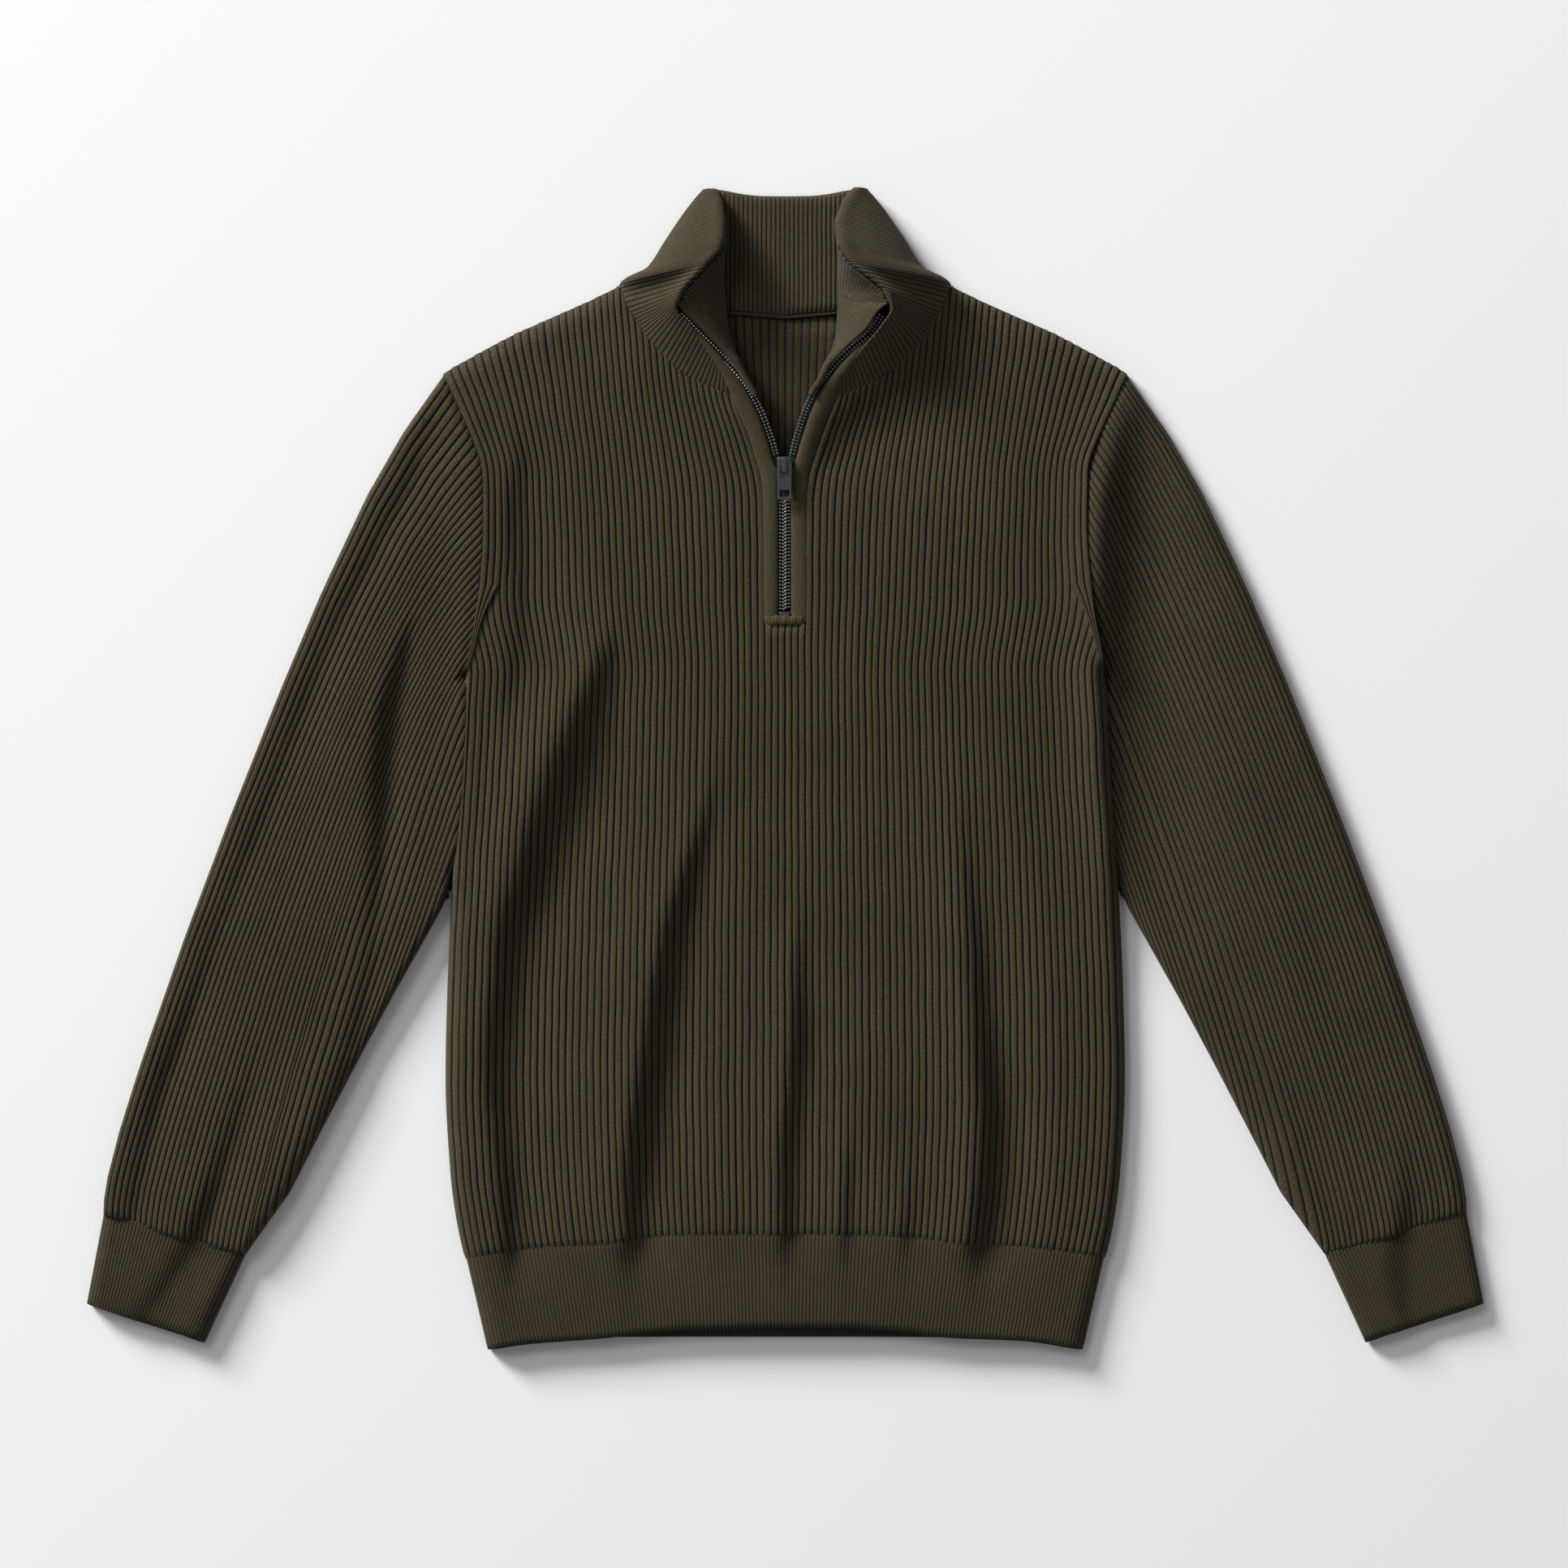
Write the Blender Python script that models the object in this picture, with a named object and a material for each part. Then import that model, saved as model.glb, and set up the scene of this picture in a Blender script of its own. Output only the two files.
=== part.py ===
"""Quarter zip sweater in rib knit, laid flat on its back.

X runs to the right as seen from above, Y towards the collar and Z up. The underside lies at Z = 0
and the origin is under the middle of the chest. Lengths are in millimetres here and become metres
where a mesh is made. Left and right are as seen from above.
"""
import math

import bmesh
import bpy
import numpy as np
from mathutils import Vector

MM = 0.001

# Knit
WALL = 2.4
SEAM_GAP = 0.3
SLEEVE_GAP = 0.5
RIB_RISE = 1.0
FINE_RIB_RISE = 0.5
COLLAR_THICK = 4.8
FLAP_CLEARANCE = 0.6
FACING_THICK = 1.8

# Layers, from the table up
BACK_TOP = 2.2
FRONT_RIM = BACK_TOP + SEAM_GAP
COLLAR_RIM = COLLAR_THICK + FINE_RIB_RISE + SEAM_GAP
FRONT_CROWN = 9.6
SLEEVE_CROWN = 13.0
CUFF_CROWN = 10.5
HEM_CROWN = 8.2
ROLL_RADIUS = 12.0
TUBE_EDGE = 1.2
UNDERSIDE_INSET = 1.0

# Rib counts
RIBS_LOWER = 48
RIBS_CENTRE = 41
RIBS_UPPER = 44
RIBS_UNDER_ZIP = 3
SLEEVE_RIBS = 48
SLEEVE_ARMHOLE_RIBS = 34
SLEEVE_CUFF_RIBS = 26
CUFF_RIBS = 41
HEM_RIBS = 170
FLAP_RIBS = 70
FLAP_SEAM_RIBS = 33
COLLAR_BACK_RIBS = 34

# Heights up the body where the panels change
UNDERARM_Y = 60.0
FASHION_TOP_Y = 118.0
PLACKET_FOOT_Y = 92.8
NECK_JOIN_Y = 237.4
ZIP_CENTRE_X = -0.5

CLOTH_COLOUR = (0.036, 0.030, 0.018, 1.0)
FINE_RIB_COLOUR = (0.041, 0.033, 0.020, 1.0)
PLACKET_COLOUR = (0.062, 0.052, 0.028, 1.0)
TAPE_COLOUR = (0.008, 0.008, 0.009, 1.0)
CHAIN_COLOUR = (0.06, 0.06, 0.065, 1.0)
GUNMETAL_COLOUR = (0.10, 0.105, 0.115, 1.0)


def table(columns, *rows):
    """Rows of numbers as one array for each named column."""
    return dict(zip(columns.split(), np.array(rows, dtype=float).T))


# Half of the body's outline, from the hem's corner up to the shoulder point
SIDE = table(
    "y half_width",
    (-373, 191.0),
    (-345, 197.5),
    (-315, 205.0),
    (-290, 210.5),
    (-260, 214.5),
    (-200, 217.6),
    (-140, 216.2),
    (-75, 213.2),
    (-10, 208.8),
    (UNDERARM_Y, 204.5),
    (90, 199.5),
    (118, 195.8),
    (155, 193.2),
    (188, 193.4),
    (205, 196.0),
    (232, 206.4),
    (253, 219.7),
)
# From the shoulder point to the neck point
SHOULDER = table(
    "x y",
    (219.7, 253.0),
    (211.4, 258.2),
    (192.6, 268.6),
    (173.0, 279.0),
    (149.5, 289.4),
    (126.0, 299.8),
    (106.9, 309.1),
)
# From the placket to the neck point
NECKLINE = table(
    "x y",
    (32.5, 237.4),
    (45.5, 242.6),
    (57.0, 247.8),
    (67.5, 253.0),
    (76.7, 263.4),
    (87.1, 273.8),
    (95.9, 286.8),
    (102.7, 299.8),
    (106.9, 309.1),
)
BACK_NECK = table("x y", (0, 289.5), (38, 293.0), (70, 299.0), (95, 306.0), (106.9, 309.1))
COLLAR_SIDE = table(
    "x y",
    (106.4, 309.8),
    (97.0, 315.4),
    (87.5, 321.0),
    (81.5, 331.0),
    (74.6, 341.4),
    (68.0, 351.8),
    (59.5, 362.0),
    (50.5, 372.4),
)
COLLAR_TOP = table("x y", (0, 367.2), (15, 367.4), (27, 368.6), (40, 371.0), (50.5, 372.4))
# Outer edge of the plain band beside the zip, and of the first rib line above it
BAND = table(
    "y x",
    (PLACKET_FOOT_Y, 13.0),
    (170, 13.4),
    (185, 15.0),
    (201, 19.5),
    (214, 23.7),
    (224, 27.6),
    (NECK_JOIN_Y, 32.5),
    (270, 39.0),
    (310, 43.0),
)
HEM_SEAM = table(
    "x y",
    (-205, -315.0),
    (-180, -310.7),
    (-150, -307.6),
    (-118, -306.0),
    (-92, -302.4),
    (-70, -300.4),
    (-35, -299.8),
    (17, -299.8),
    (58, -300.3),
    (90, -302.4),
    (110, -305.5),
    (152, -307.6),
    (205, -314.0),
)
HEM_FOOT = table(
    "x y_front y_back",
    (-191, -373.0, -373.0),
    (-165, -369.0, -369.0),
    (-139, -366.9, -366.9),
    (-118, -365.3, -365.4),
    (-87, -361.7, -365.2),
    (-61, -359.6, -365.0),
    (0, -358.0, -365.0),
    (38, -358.2, -365.0),
    (79, -361.2, -365.2),
    (105, -364.8, -365.6),
    (152, -366.9, -366.9),
    (191, -373.0, -373.0),
)
# Outer edge of a sleeve between the shoulder and the cuff, and its inner edge clear of the body
SLEEVE_OUTER = table(
    "x y",
    (244.4, 216.6),
    (268.4, 175.0),
    (297.7, 112.6),
    (324.0, 50.2),
    (357.0, -33.0),
    (384.5, -105.8),
    (413.4, -189.0),
    (426.7, -230.6),
    (436.8, -270.0),
)
SLEEVE_INNER = table(
    "x y",
    (215.8, -78.0),
    (220.5, -90.0),
    (229.3, -105.8),
    (252.7, -147.4),
    (275.0, -189.0),
    (296.7, -230.6),
    (318.0, -272.2),
    (346.0, -311.5),
)
CUFF_SEAM = table(
    "x y", (437.5, -286.0), (422.0, -289.5), (391.0, -300.0), (363.0, -308.0), (346.0, -311.5)
)
CUFF_FOOT = table(
    "x y", (448.3, -343.2), (431.5, -348.7), (411.0, -355.5), (385.0, -363.5), (372.5, -368.5)
)
# One side of the open zip and the height at which its teeth stand
ZIP_LINE = table(
    "y x_left x_right z",
    (PLACKET_FOOT_Y, 0.0, 0.0, 12.2),
    (188, 0.0, 0.0, 12.8),
    (198, 3.6, 3.2, 13.4),
    (209, 6.8, 5.8, 14.2),
    (219, 10.3, 8.9, 15.4),
    (227, 13.4, 11.4, 16.6),
    (235, 17.4, 14.9, 18.0),
    (243, 22.1, 18.9, 19.6),
    (250, 27.0, 24.4, 21.0),
    (259, 35.0, 32.0, 23.2),
    (269, 45.2, 42.3, 26.0),
    (278, 54.6, 53.4, 28.6),
    (285, 61.4, 58.6, 30.6),
    (291, 67.6, 62.0, 32.0),
)
# Where a collar flap's ribs start and end. The first rows start on the neck seam, the others on
# the fold at the side. The last column is how far the top edge stands up.
FLAP = table(
    "rib foot_x foot_y top_x_left top_x_right top_y top_z",
    (0, 33.0, 238.2, 36.5, 34.0, 247.5, 20.0),
    (8, 57.0, 248.6, 48.5, 46.0, 266.0, 25.0),
    (14, 73.0, 260.2, 60.5, 57.0, 280.8, 30.0),
    (20, 88.0, 276.4, 70.6, 66.5, 293.0, 33.0),
    (27, 98.0, 292.0, 67.8, 66.0, 302.0, 35.0),
    (33, 106.0, 309.3, 53.0, 46.0, 319.5, 35.5),
    (42, 88.5, 321.0, 43.6, 38.2, 332.0, 33.0),
    (52, 76.4, 339.0, 42.4, 36.4, 346.0, 26.0),
    (62, 64.6, 356.4, 44.4, 40.0, 359.5, 18.0),
    (70, 52.5, 370.5, 47.0, 46.0, 367.8, 10.0),
)
# The inner half of a flap, from the zip or the top edge down to where it turns out of sight
FACING = table(
    "row edge_x_left edge_x_right edge_y edge_z tuck_x_left tuck_x_right tuck_y tuck_z",
    (0, 32.2, 28.6, 258.4, 22.2, 30.6, 27.0, 257.6, 21.0),
    (1, 43.8, 40.4, 269.6, 24.8, 34.0, 31.5, 266.0, 15.0),
    (2, 53.4, 51.4, 279.0, 27.6, 37.0, 34.0, 279.0, 12.0),
    (3, 65.4, 60.4, 291.0, 31.0, 38.5, 35.0, 291.0, 11.0),
    (4, 68.8, 64.4, 296.0, 32.4, 39.2, 35.5, 298.0, 11.0),
    (5, 67.2, 65.4, 302.0, 34.0, 39.8, 35.5, 305.0, 11.5),
    (6, 52.4, 45.4, 319.5, 34.6, 40.6, 35.6, 319.0, 14.0),
    (7, 43.0, 37.6, 332.0, 32.0, 40.4, 35.4, 331.0, 14.0),
    (8, 41.8, 35.8, 346.0, 25.0, 40.0, 34.8, 345.0, 11.0),
    (9, 43.6, 39.2, 358.0, 17.2, 42.0, 38.0, 356.5, 9.0),
)
# Soft troughs (height below zero) and ridges, each along a line from its top to its bottom
FRONT_FOLDS = table(
    "x_top y_top x_foot y_foot half_width height",
    (-34, 238, -86, 262, 34, 4.2),
    (34, 238, 86, 262, 34, 4.2),
    (-115, 96, -117, 30, 16, -2.2),
    (-48, 10, -62, -96, 15, -1.8),
    (-84, -100, -100, -296, 15, -3.4),
    (-62, -90, -70, -290, 17, 1.6),
    (-132, -60, -140, -290, 20, 1.8),
    (-183, -50, -176, -290, 14, -2.2),
    (-6, -150, -2, -292, 15, -1.8),
    (40, -120, 46, -290, 20, 1.3),
    (128, -90, 129, -296, 14, -3.2),
    (98, -120, 102, -290, 17, 1.6),
    (158, -60, 156, -290, 18, 1.2),
    (136, 60, 132, -20, 18, -1.6),
    (-172, 160, -168, 60, 14, -1.6),
)
LEFT_SLEEVE_FOLDS = table(
    "x_top y_top x_foot y_foot half_width height",
    (-236, 190, -212, 96, 12, -4.6),
    (-262, 60, -250, -34, 15, -3.6),
    (-243, 40, -232, -30, 13, 1.6),
    (-300, 88, -322, -10, 16, -2.0),
    (-352, -130, -380, -230, 16, 1.4),
    (-382, -170, -402, -262, 12, -2.4),
    (-330, -170, -352, -280, 16, -1.6),
)
RIGHT_SLEEVE_FOLDS = table(
    "x_top y_top x_foot y_foot half_width height",
    (214, 205, 214, 60, 13, -4.2),
    (224, 40, 226, -50, 13, -3.0),
    (268, 60, 300, -60, 20, 1.6),
    (330, -60, 352, -160, 18, -1.6),
    (372, -170, 398, -262, 14, -2.0),
    (342, -190, 366, -280, 16, 1.2),
)

# Rows of a surface as fractions of its length, closer where it rolls over
LOWER_ROWS = np.array([0, 0.16, 0.37, 0.59, 0.81, 1])
UPPER_ROWS = np.array([0.34, 0.52, 0.67, 0.82, 0.93, 0.98, 1])
SLEEVE_ROWS = np.array([0, 0.07, 0.24, 0.46, 0.7, 0.93, 1])
FLAP_ROWS = np.array([0, 0.2, 0.6, 1])


# ---------------------------------------------------------------- curves and heights
def smooth(known_x, known_y, x):
    """Curve through the known points that never overshoots them; flat past the ends."""
    step = np.diff(known_x)
    slope = np.diff(known_y) / step
    bends = slope[:-1] * slope[1:] > 0
    inner = np.where(bends, 2 * slope[:-1] * slope[1:] / np.where(bends, slope[:-1] + slope[1:], 1), 0)
    tangent = np.concatenate([slope[:1], inner, slope[-1:]])
    i = np.clip(np.searchsorted(known_x, x) - 1, 0, len(step) - 1)
    t = np.clip((x - known_x[i]) / step[i], 0, 1)
    rise = known_y[i + 1] - known_y[i]
    start = tangent[i] * step[i]
    end = tangent[i + 1] * step[i]
    return known_y[i] + start * t + (3 * rise - 2 * start - end) * t**2 + (start + end - 2 * rise) * t**3


def smoothstep(t):
    t = np.clip(t, 0, 1)
    return t * t * (3 - 2 * t)


def path_of(rows, mirror=1):
    """A table's x and y columns as points; mirror -1 gives the left side's."""
    return np.stack([mirror * rows["x"], rows["y"]], axis=-1)


def path_lengths(path):
    """Distance along a path to each of its points."""
    return np.concatenate([[0], np.cumsum(np.linalg.norm(np.diff(path, axis=0), axis=1))])


def along_path(path, fraction):
    """Points at fractions of a path's length."""
    length = path_lengths(path)
    at = np.asarray(fraction) * length[-1]
    return np.stack([np.interp(at, length, path[:, k]) for k in (0, 1)], axis=-1)


def nearest_edge(edges, x, y):
    """Distance in plan to the nearest of several paths, and the direction square to it."""
    start = np.concatenate([path[:-1] for path in edges])
    run = np.concatenate([np.diff(path, axis=0) for path in edges])
    dx = x[..., None] - start[:, 0]
    dy = y[..., None] - start[:, 1]
    t = np.clip((dx * run[:, 0] + dy * run[:, 1]) / (run**2).sum(axis=1), 0, 1)
    gap = np.hypot(dx - t * run[:, 0], dy - t * run[:, 1])
    along = run[gap.argmin(axis=-1)]
    along = along / np.linalg.norm(along, axis=-1, keepdims=True)
    return gap.min(axis=-1), -along[..., 1], along[..., 0]


def distance_to(edges, x, y):
    return nearest_edge(edges, x, y)[0]


def roll(distance, radius=ROLL_RADIUS):
    """Height of a rolled edge, from 0 at the edge to 1 at the radius, as a quarter circle."""
    t = np.clip(distance / radius, 0, 1)
    return np.sqrt(t * (2 - t))


def fold_height(folds, x, y):
    """Sum of the troughs and ridges at each point."""
    height = np.zeros(np.shape(x))
    for k in range(len(folds["height"])):
        line = np.array(
            [[folds["x_top"][k], folds["y_top"][k]], [folds["x_foot"][k], folds["y_foot"][k]]]
        )
        reach = distance_to([line], x, y) / folds["half_width"][k]
        height += folds["height"][k] * np.exp(-(reach**2))
    return height


def upward_normals(height, x, y, step=0.4):
    """Unit normals of a height field, from its slope over a small step."""
    slope_x = (height(x + step, y) - height(x - step, y)) / (2 * step)
    slope_y = (height(x, y + step) - height(x, y - step)) / (2 * step)
    normals = np.stack([-slope_x, -slope_y, np.ones_like(slope_x)], axis=-1)
    return normals / np.linalg.norm(normals, axis=-1, keepdims=True)


def inset(x, y, edges, middle, amount):
    """Move points near an edge towards the middle, by the amount at the edge itself."""
    gap, across_x, across_y = nearest_edge(edges, x, y)
    inward = np.sign((middle[0] - x) * across_x + (middle[1] - y) * across_y)
    shift = inward * amount * np.clip(1 - gap / (3 * amount), 0, 1)
    return x + across_x * shift, y + across_y * shift


def rib_wave(lines):
    """1 on the crest of each rib and 0 between ribs, for lines counted in ribs."""
    return np.abs(np.sin(np.pi * np.asarray(lines)))


# ---------------------------------------------------------------- meshes
def add_grid(bm, points):
    """A grid of faces whose corners are the given rows of points."""
    rows, columns = points.shape[:2]
    made = bmesh.ops.create_grid(bm, x_segments=columns - 1, y_segments=rows - 1, size=1)
    for vert, point in zip(made["verts"], points.reshape(-1, 3) * MM):
        vert.co = point
    return np.array(made["verts"], dtype=object).reshape(rows, columns)


def zip_strip(bm, side_a, side_b, closed=False):
    """Faces between two rows of corners that may differ in count, by the shorter diagonal."""
    if closed:
        side_a = list(side_a) + [side_a[0]]
        side_b = list(side_b) + [side_b[0]]
    i = j = 0
    while i < len(side_a) - 1 or j < len(side_b) - 1:
        if i == len(side_a) - 1:
            go_a = False
        elif j == len(side_b) - 1:
            go_a = True
        else:
            across_a = (side_a[i + 1].co - side_b[j].co).length
            across_b = (side_a[i].co - side_b[j + 1].co).length
            go_a = across_a < across_b
        corner = side_a[i + 1] if go_a else side_b[j + 1]
        bm.faces.new((side_a[i], corner, side_b[j]))
        i, j = (i + 1, j) if go_a else (i, j + 1)


def outline_of(verts):
    """The open edge of a patch of faces as a ring of corners, anticlockwise from above."""
    inside = set(verts)
    edge_of = {}
    for vert in verts:
        edge_of[vert] = [e.other_vert(vert) for e in vert.link_edges if len(e.link_faces) == 1]
    start = next(v for v in verts if edge_of[v])
    ring = [start]
    before, here = None, start
    while len(ring) <= len(verts):
        nearby = [v for v in edge_of[here] if v is not before and v in inside]
        before, here = here, nearby[0]
        if here is start:
            break
        ring.append(here)
    area = sum(a.co.x * b.co.y - b.co.x * a.co.y for a, b in zip(ring, ring[1:] + ring[:1]))
    return ring if area > 0 else ring[::-1]


def turned_to(ring, point):
    """The same ring, starting at the corner nearest a point."""
    nearest = min(range(len(ring)), key=lambda k: (ring[k].co - point).length)
    return ring[nearest:] + ring[:nearest]


def make_wall(name, outer_grids, inner_grids, material):
    """A closed wall between an outer and an inner patch, each welded from its grids."""
    bm = bmesh.new()
    rings = []
    for grids in (outer_grids, inner_grids):
        known = set(bm.verts)
        for points in grids:
            add_grid(bm, points)
        fresh = [v for v in bm.verts if v not in known]
        bmesh.ops.remove_doubles(bm, verts=fresh, dist=1e-6)
        fresh = [v for v in bm.verts if v not in known]
        rings.append(outline_of(fresh))
    start = max(rings[0], key=lambda v: v.co.x - v.co.y)
    rings = [turned_to(ring, start.co.copy()) for ring in rings]
    zip_strip(bm, rings[0], rings[1], closed=True)
    return make_object(name, bm, material)


def make_object(name, bm, material):
    bmesh.ops.recalc_face_normals(bm, faces=bm.faces)
    mesh = bpy.data.meshes.new(name)
    bm.to_mesh(mesh)
    bm.free()
    mesh.shade_smooth()
    mesh.set_sharp_from_angle(angle=math.radians(40))
    mesh.materials.append(material)
    thing = bpy.data.objects.new(name, mesh)
    sweater.objects.link(thing)
    return thing


def make_slab(name, outline, bottom, top, material):
    """A flat sheet with a plain outline, from a filled curve."""
    curve = bpy.data.curves.new(name, "CURVE")
    curve.dimensions = "2D"
    curve.fill_mode = "BOTH"
    curve.extrude = (top - bottom) / 2 * MM
    spline = curve.splines.new("POLY")
    spline.points.add(len(outline) - 1)
    spline.use_cyclic_u = True
    for point, (x, y) in zip(spline.points, outline):
        point.co = (x * MM, y * MM, 0, 1)
    curve.materials.append(material)
    thing = bpy.data.objects.new(name, curve)
    thing.location.z = (top + bottom) / 2 * MM
    sweater.objects.link(thing)
    return thing


def make_material(name, colour, roughness, metallic=0.0):
    material = bpy.data.materials.new(name)
    material.use_nodes = True
    shader = material.node_tree.nodes["Principled BSDF"]
    shader.inputs["Base Color"].default_value = colour
    shader.inputs["Roughness"].default_value = roughness
    shader.inputs["Metallic"].default_value = metallic
    return material


def with_height(x, y, z):
    return np.stack([x, y, z], axis=-1)


def ribbed(x, y, height, wave, rise):
    """Points of a height field with its ribs raised along the normals."""
    base = with_height(x, y, height(x, y))
    return base + upward_normals(height, x, y) * (wave * rise)[..., None]


# ---------------------------------------------------------------- body
def side_x(y):
    return smooth(SIDE["y"], SIDE["half_width"], y)


def hem_seam_y(x):
    return smooth(HEM_SEAM["x"], HEM_SEAM["y"], x)


def top_y(x):
    """Height of the neckline and the shoulder line at a distance from the middle."""
    neck = np.interp(x, NECKLINE["x"], NECKLINE["y"])
    shoulder = np.interp(x, SHOULDER["x"][::-1], SHOULDER["y"][::-1])
    return np.where(x < NECKLINE["x"][-1], neck, shoulder)


def body_edges():
    """The rolled edges of the front: its sides up to the underarm and its shoulders."""
    low = SIDE["y"] <= UNDERARM_Y
    side = np.stack([SIDE["half_width"][low], SIDE["y"][low]], axis=-1)
    edges = []
    for mirror in (-1, 1):
        edges.append(side * (mirror, 1))
        edges.append(path_of(SHOULDER, mirror))
    return edges


BODY_EDGES = body_edges()


def body_inset(x, y):
    """Draw the body's points in from its edges by the thickness of the wall."""
    return inset(x, y, BODY_EDGES, (0.0, np.minimum(y, FASHION_TOP_Y)), WALL)


def front_height(x, y, depth=0.0):
    """Height of the front's outer face, or of the face a wall's depth inside it."""
    distance = distance_to(BODY_EDGES, x, y) - depth
    crown = FRONT_CROWN - depth + fold_height(FRONT_FOLDS, x, y)
    return FRONT_RIM + crown * roll(distance, ROLL_RADIUS - depth)


def rib_x(line, y):
    """Distance of a rib line from the middle: even below the underarm, fanned above it."""
    low = side_x(np.minimum(y, UNDERARM_Y)) * line / RIBS_LOWER
    band = smooth(BAND["y"], BAND["x"], y)
    span = (line - RIBS_UNDER_ZIP) / (RIBS_UPPER - RIBS_UNDER_ZIP)
    high = np.where(line < RIBS_UNDER_ZIP, band * line / RIBS_UNDER_ZIP, band + (side_x(y) - band) * span)
    return low + (high - low) * smoothstep((y - UNDERARM_Y) / (FASHION_TOP_Y - UNDERARM_Y))


def column_top(lines):
    """Where each rib line meets the neckline or the shoulder."""
    y = np.full(np.shape(lines), 250.0)
    for _ in range(30):
        y = 0.5 * y + 0.5 * top_y(rib_x(lines, y))
    return y


def column_foot(side, lines):
    """Where each rib line meets the hem seam."""
    y = np.full(np.shape(lines), HEM_SEAM["y"][0])
    for _ in range(6):
        y = hem_seam_y(side * rib_x(lines, y))
    return y


def blend(start, end, fractions):
    """Rows from start to end, one for each fraction."""
    return start + (end - start) * np.asarray(fractions)[:, None]


def upper_fractions():
    """Rows of the front above the placket's foot, one of them at the top of the fashioning."""
    last_top = column_top(np.array([float(RIBS_CENTRE)]))[0]
    first_row = (FASHION_TOP_Y - PLACKET_FOOT_Y) / (last_top - PLACKET_FOOT_Y)
    return np.concatenate([[0, first_row], UPPER_ROWS])


def armhole_path():
    """The right armhole from the shoulder point to the underarm, by the front's own rows."""
    top = column_top(np.array([float(RIBS_UPPER)]))[0]
    y = PLACKET_FOOT_Y + (top - PLACKET_FOOT_Y) * upper_fractions()[1:][::-1]
    y = np.append(y, [100.0, 80.0, UNDERARM_Y])
    return np.stack([side_x(y), y], axis=-1)


def front_plan(side, ribs_per_step):
    """Plan of one half of the front as grids of x, y and rib line, with a step between lines."""
    centre = np.arange(0, RIBS_CENTRE + 0.01, ribs_per_step)
    centre = np.unique(np.append(centre, [RIBS_UNDER_ZIP, RIBS_CENTRE]))
    beside = centre[centre >= RIBS_UNDER_ZIP]
    fashioned = np.unique(np.append(np.arange(RIBS_CENTRE, RIBS_LOWER, ribs_per_step), RIBS_LOWER))
    armhole = np.unique(np.append(np.arange(RIBS_CENTRE, RIBS_UPPER, ribs_per_step), RIBS_UPPER))
    last = np.array([float(RIBS_CENTRE)])

    lower_y = blend(column_foot(side, centre), np.full(len(centre), PLACKET_FOOT_Y), LOWER_ROWS)
    lower = (rib_x(centre, lower_y), lower_y, np.broadcast_to(centre, lower_y.shape))

    fractions = upper_fractions()
    upper_y = blend(np.full(len(beside), PLACKET_FOOT_Y), column_top(beside), fractions)
    upper = (rib_x(beside, upper_y), upper_y, np.broadcast_to(beside, upper_y.shape))

    last_foot = column_foot(side, last)[0]
    last_rows = np.append(lower_y[:, -1], FASHION_TOP_Y)
    side_fractions = (last_rows - last_foot) / (FASHION_TOP_Y - last_foot)
    slant = (fashioned - RIBS_CENTRE) / (RIBS_LOWER - RIBS_CENTRE)
    slant_y = FASHION_TOP_Y + (UNDERARM_Y - FASHION_TOP_Y) * slant
    side_y = blend(column_foot(side, fashioned), slant_y, side_fractions)
    side_part = (rib_x(fashioned, side_y), side_y, np.broadcast_to(fashioned, side_y.shape))

    # The armhole's ribs narrow to nothing between the slant and the underarm
    share = (armhole - RIBS_CENTRE) / (RIBS_UPPER - RIBS_CENTRE)
    slant_x = side_part[0][-1]
    row_y = slant_y[::-1, None] * np.ones(len(armhole))
    row_x = slant_x[::-1, None] + (side_x(row_y) - slant_x[::-1, None]) * share
    above_y = blend(np.full(len(armhole), PLACKET_FOOT_Y), column_top(armhole), fractions)[2:]
    gusset_y = np.concatenate([row_y, above_y])
    gusset_x = np.concatenate([row_x, rib_x(armhole, above_y)])
    gusset = (gusset_x, gusset_y, np.broadcast_to(armhole, gusset_y.shape))
    return {"lower": lower, "upper": upper, "side": side_part, "gusset": gusset}


def front_grids(ribs_per_step, depth):
    """The front's patches, ribbed on its face or plain at a wall's depth inside it."""
    grids = []
    for side in (-1, 1):
        for name, (x, y, lines) in front_plan(side, ribs_per_step).items():
            x = side * x
            if depth:
                x, y = body_inset(x, y)
                grids.append(with_height(x, y, front_height(x, y, depth)))
                continue
            wave = rib_wave(lines)
            if name == "side":
                wave[-1] = 0
            if name == "gusset":
                width = np.abs(x[:, -1:] - x[:, :1])
                wave = wave * smoothstep(width / (RIBS_UPPER - RIBS_CENTRE) / 2.0)
            grids.append(ribbed(x, y, front_height, wave, RIB_RISE))
    return grids


def build_front(material):
    make_wall("body_front", front_grids(0.5, 0.0), front_grids(4.0, WALL), material)


def back_outline():
    """The back's edge, anticlockwise from the left end of the hem seam."""
    hem_x = np.linspace(-204.0, 204.0, 17)
    hem = np.stack([hem_x, hem_seam_y(hem_x) + SEAM_GAP], axis=-1)
    side_y = np.linspace(-285, UNDERARM_Y - 20, 9)
    side = np.stack([side_x(side_y), side_y], axis=-1)
    armhole = armhole_path()[::-1]
    shoulder = path_of(SHOULDER)[1:]
    neck = path_of(BACK_NECK)[::-1][1:] - (0, SEAM_GAP)
    right = np.concatenate([side, armhole, shoulder, neck])
    return np.concatenate([hem, right, right[:-1][::-1] * (-1, 1)])


def build_back(material):
    make_slab("body_back", back_outline(), 0, BACK_TOP, material)


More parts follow.
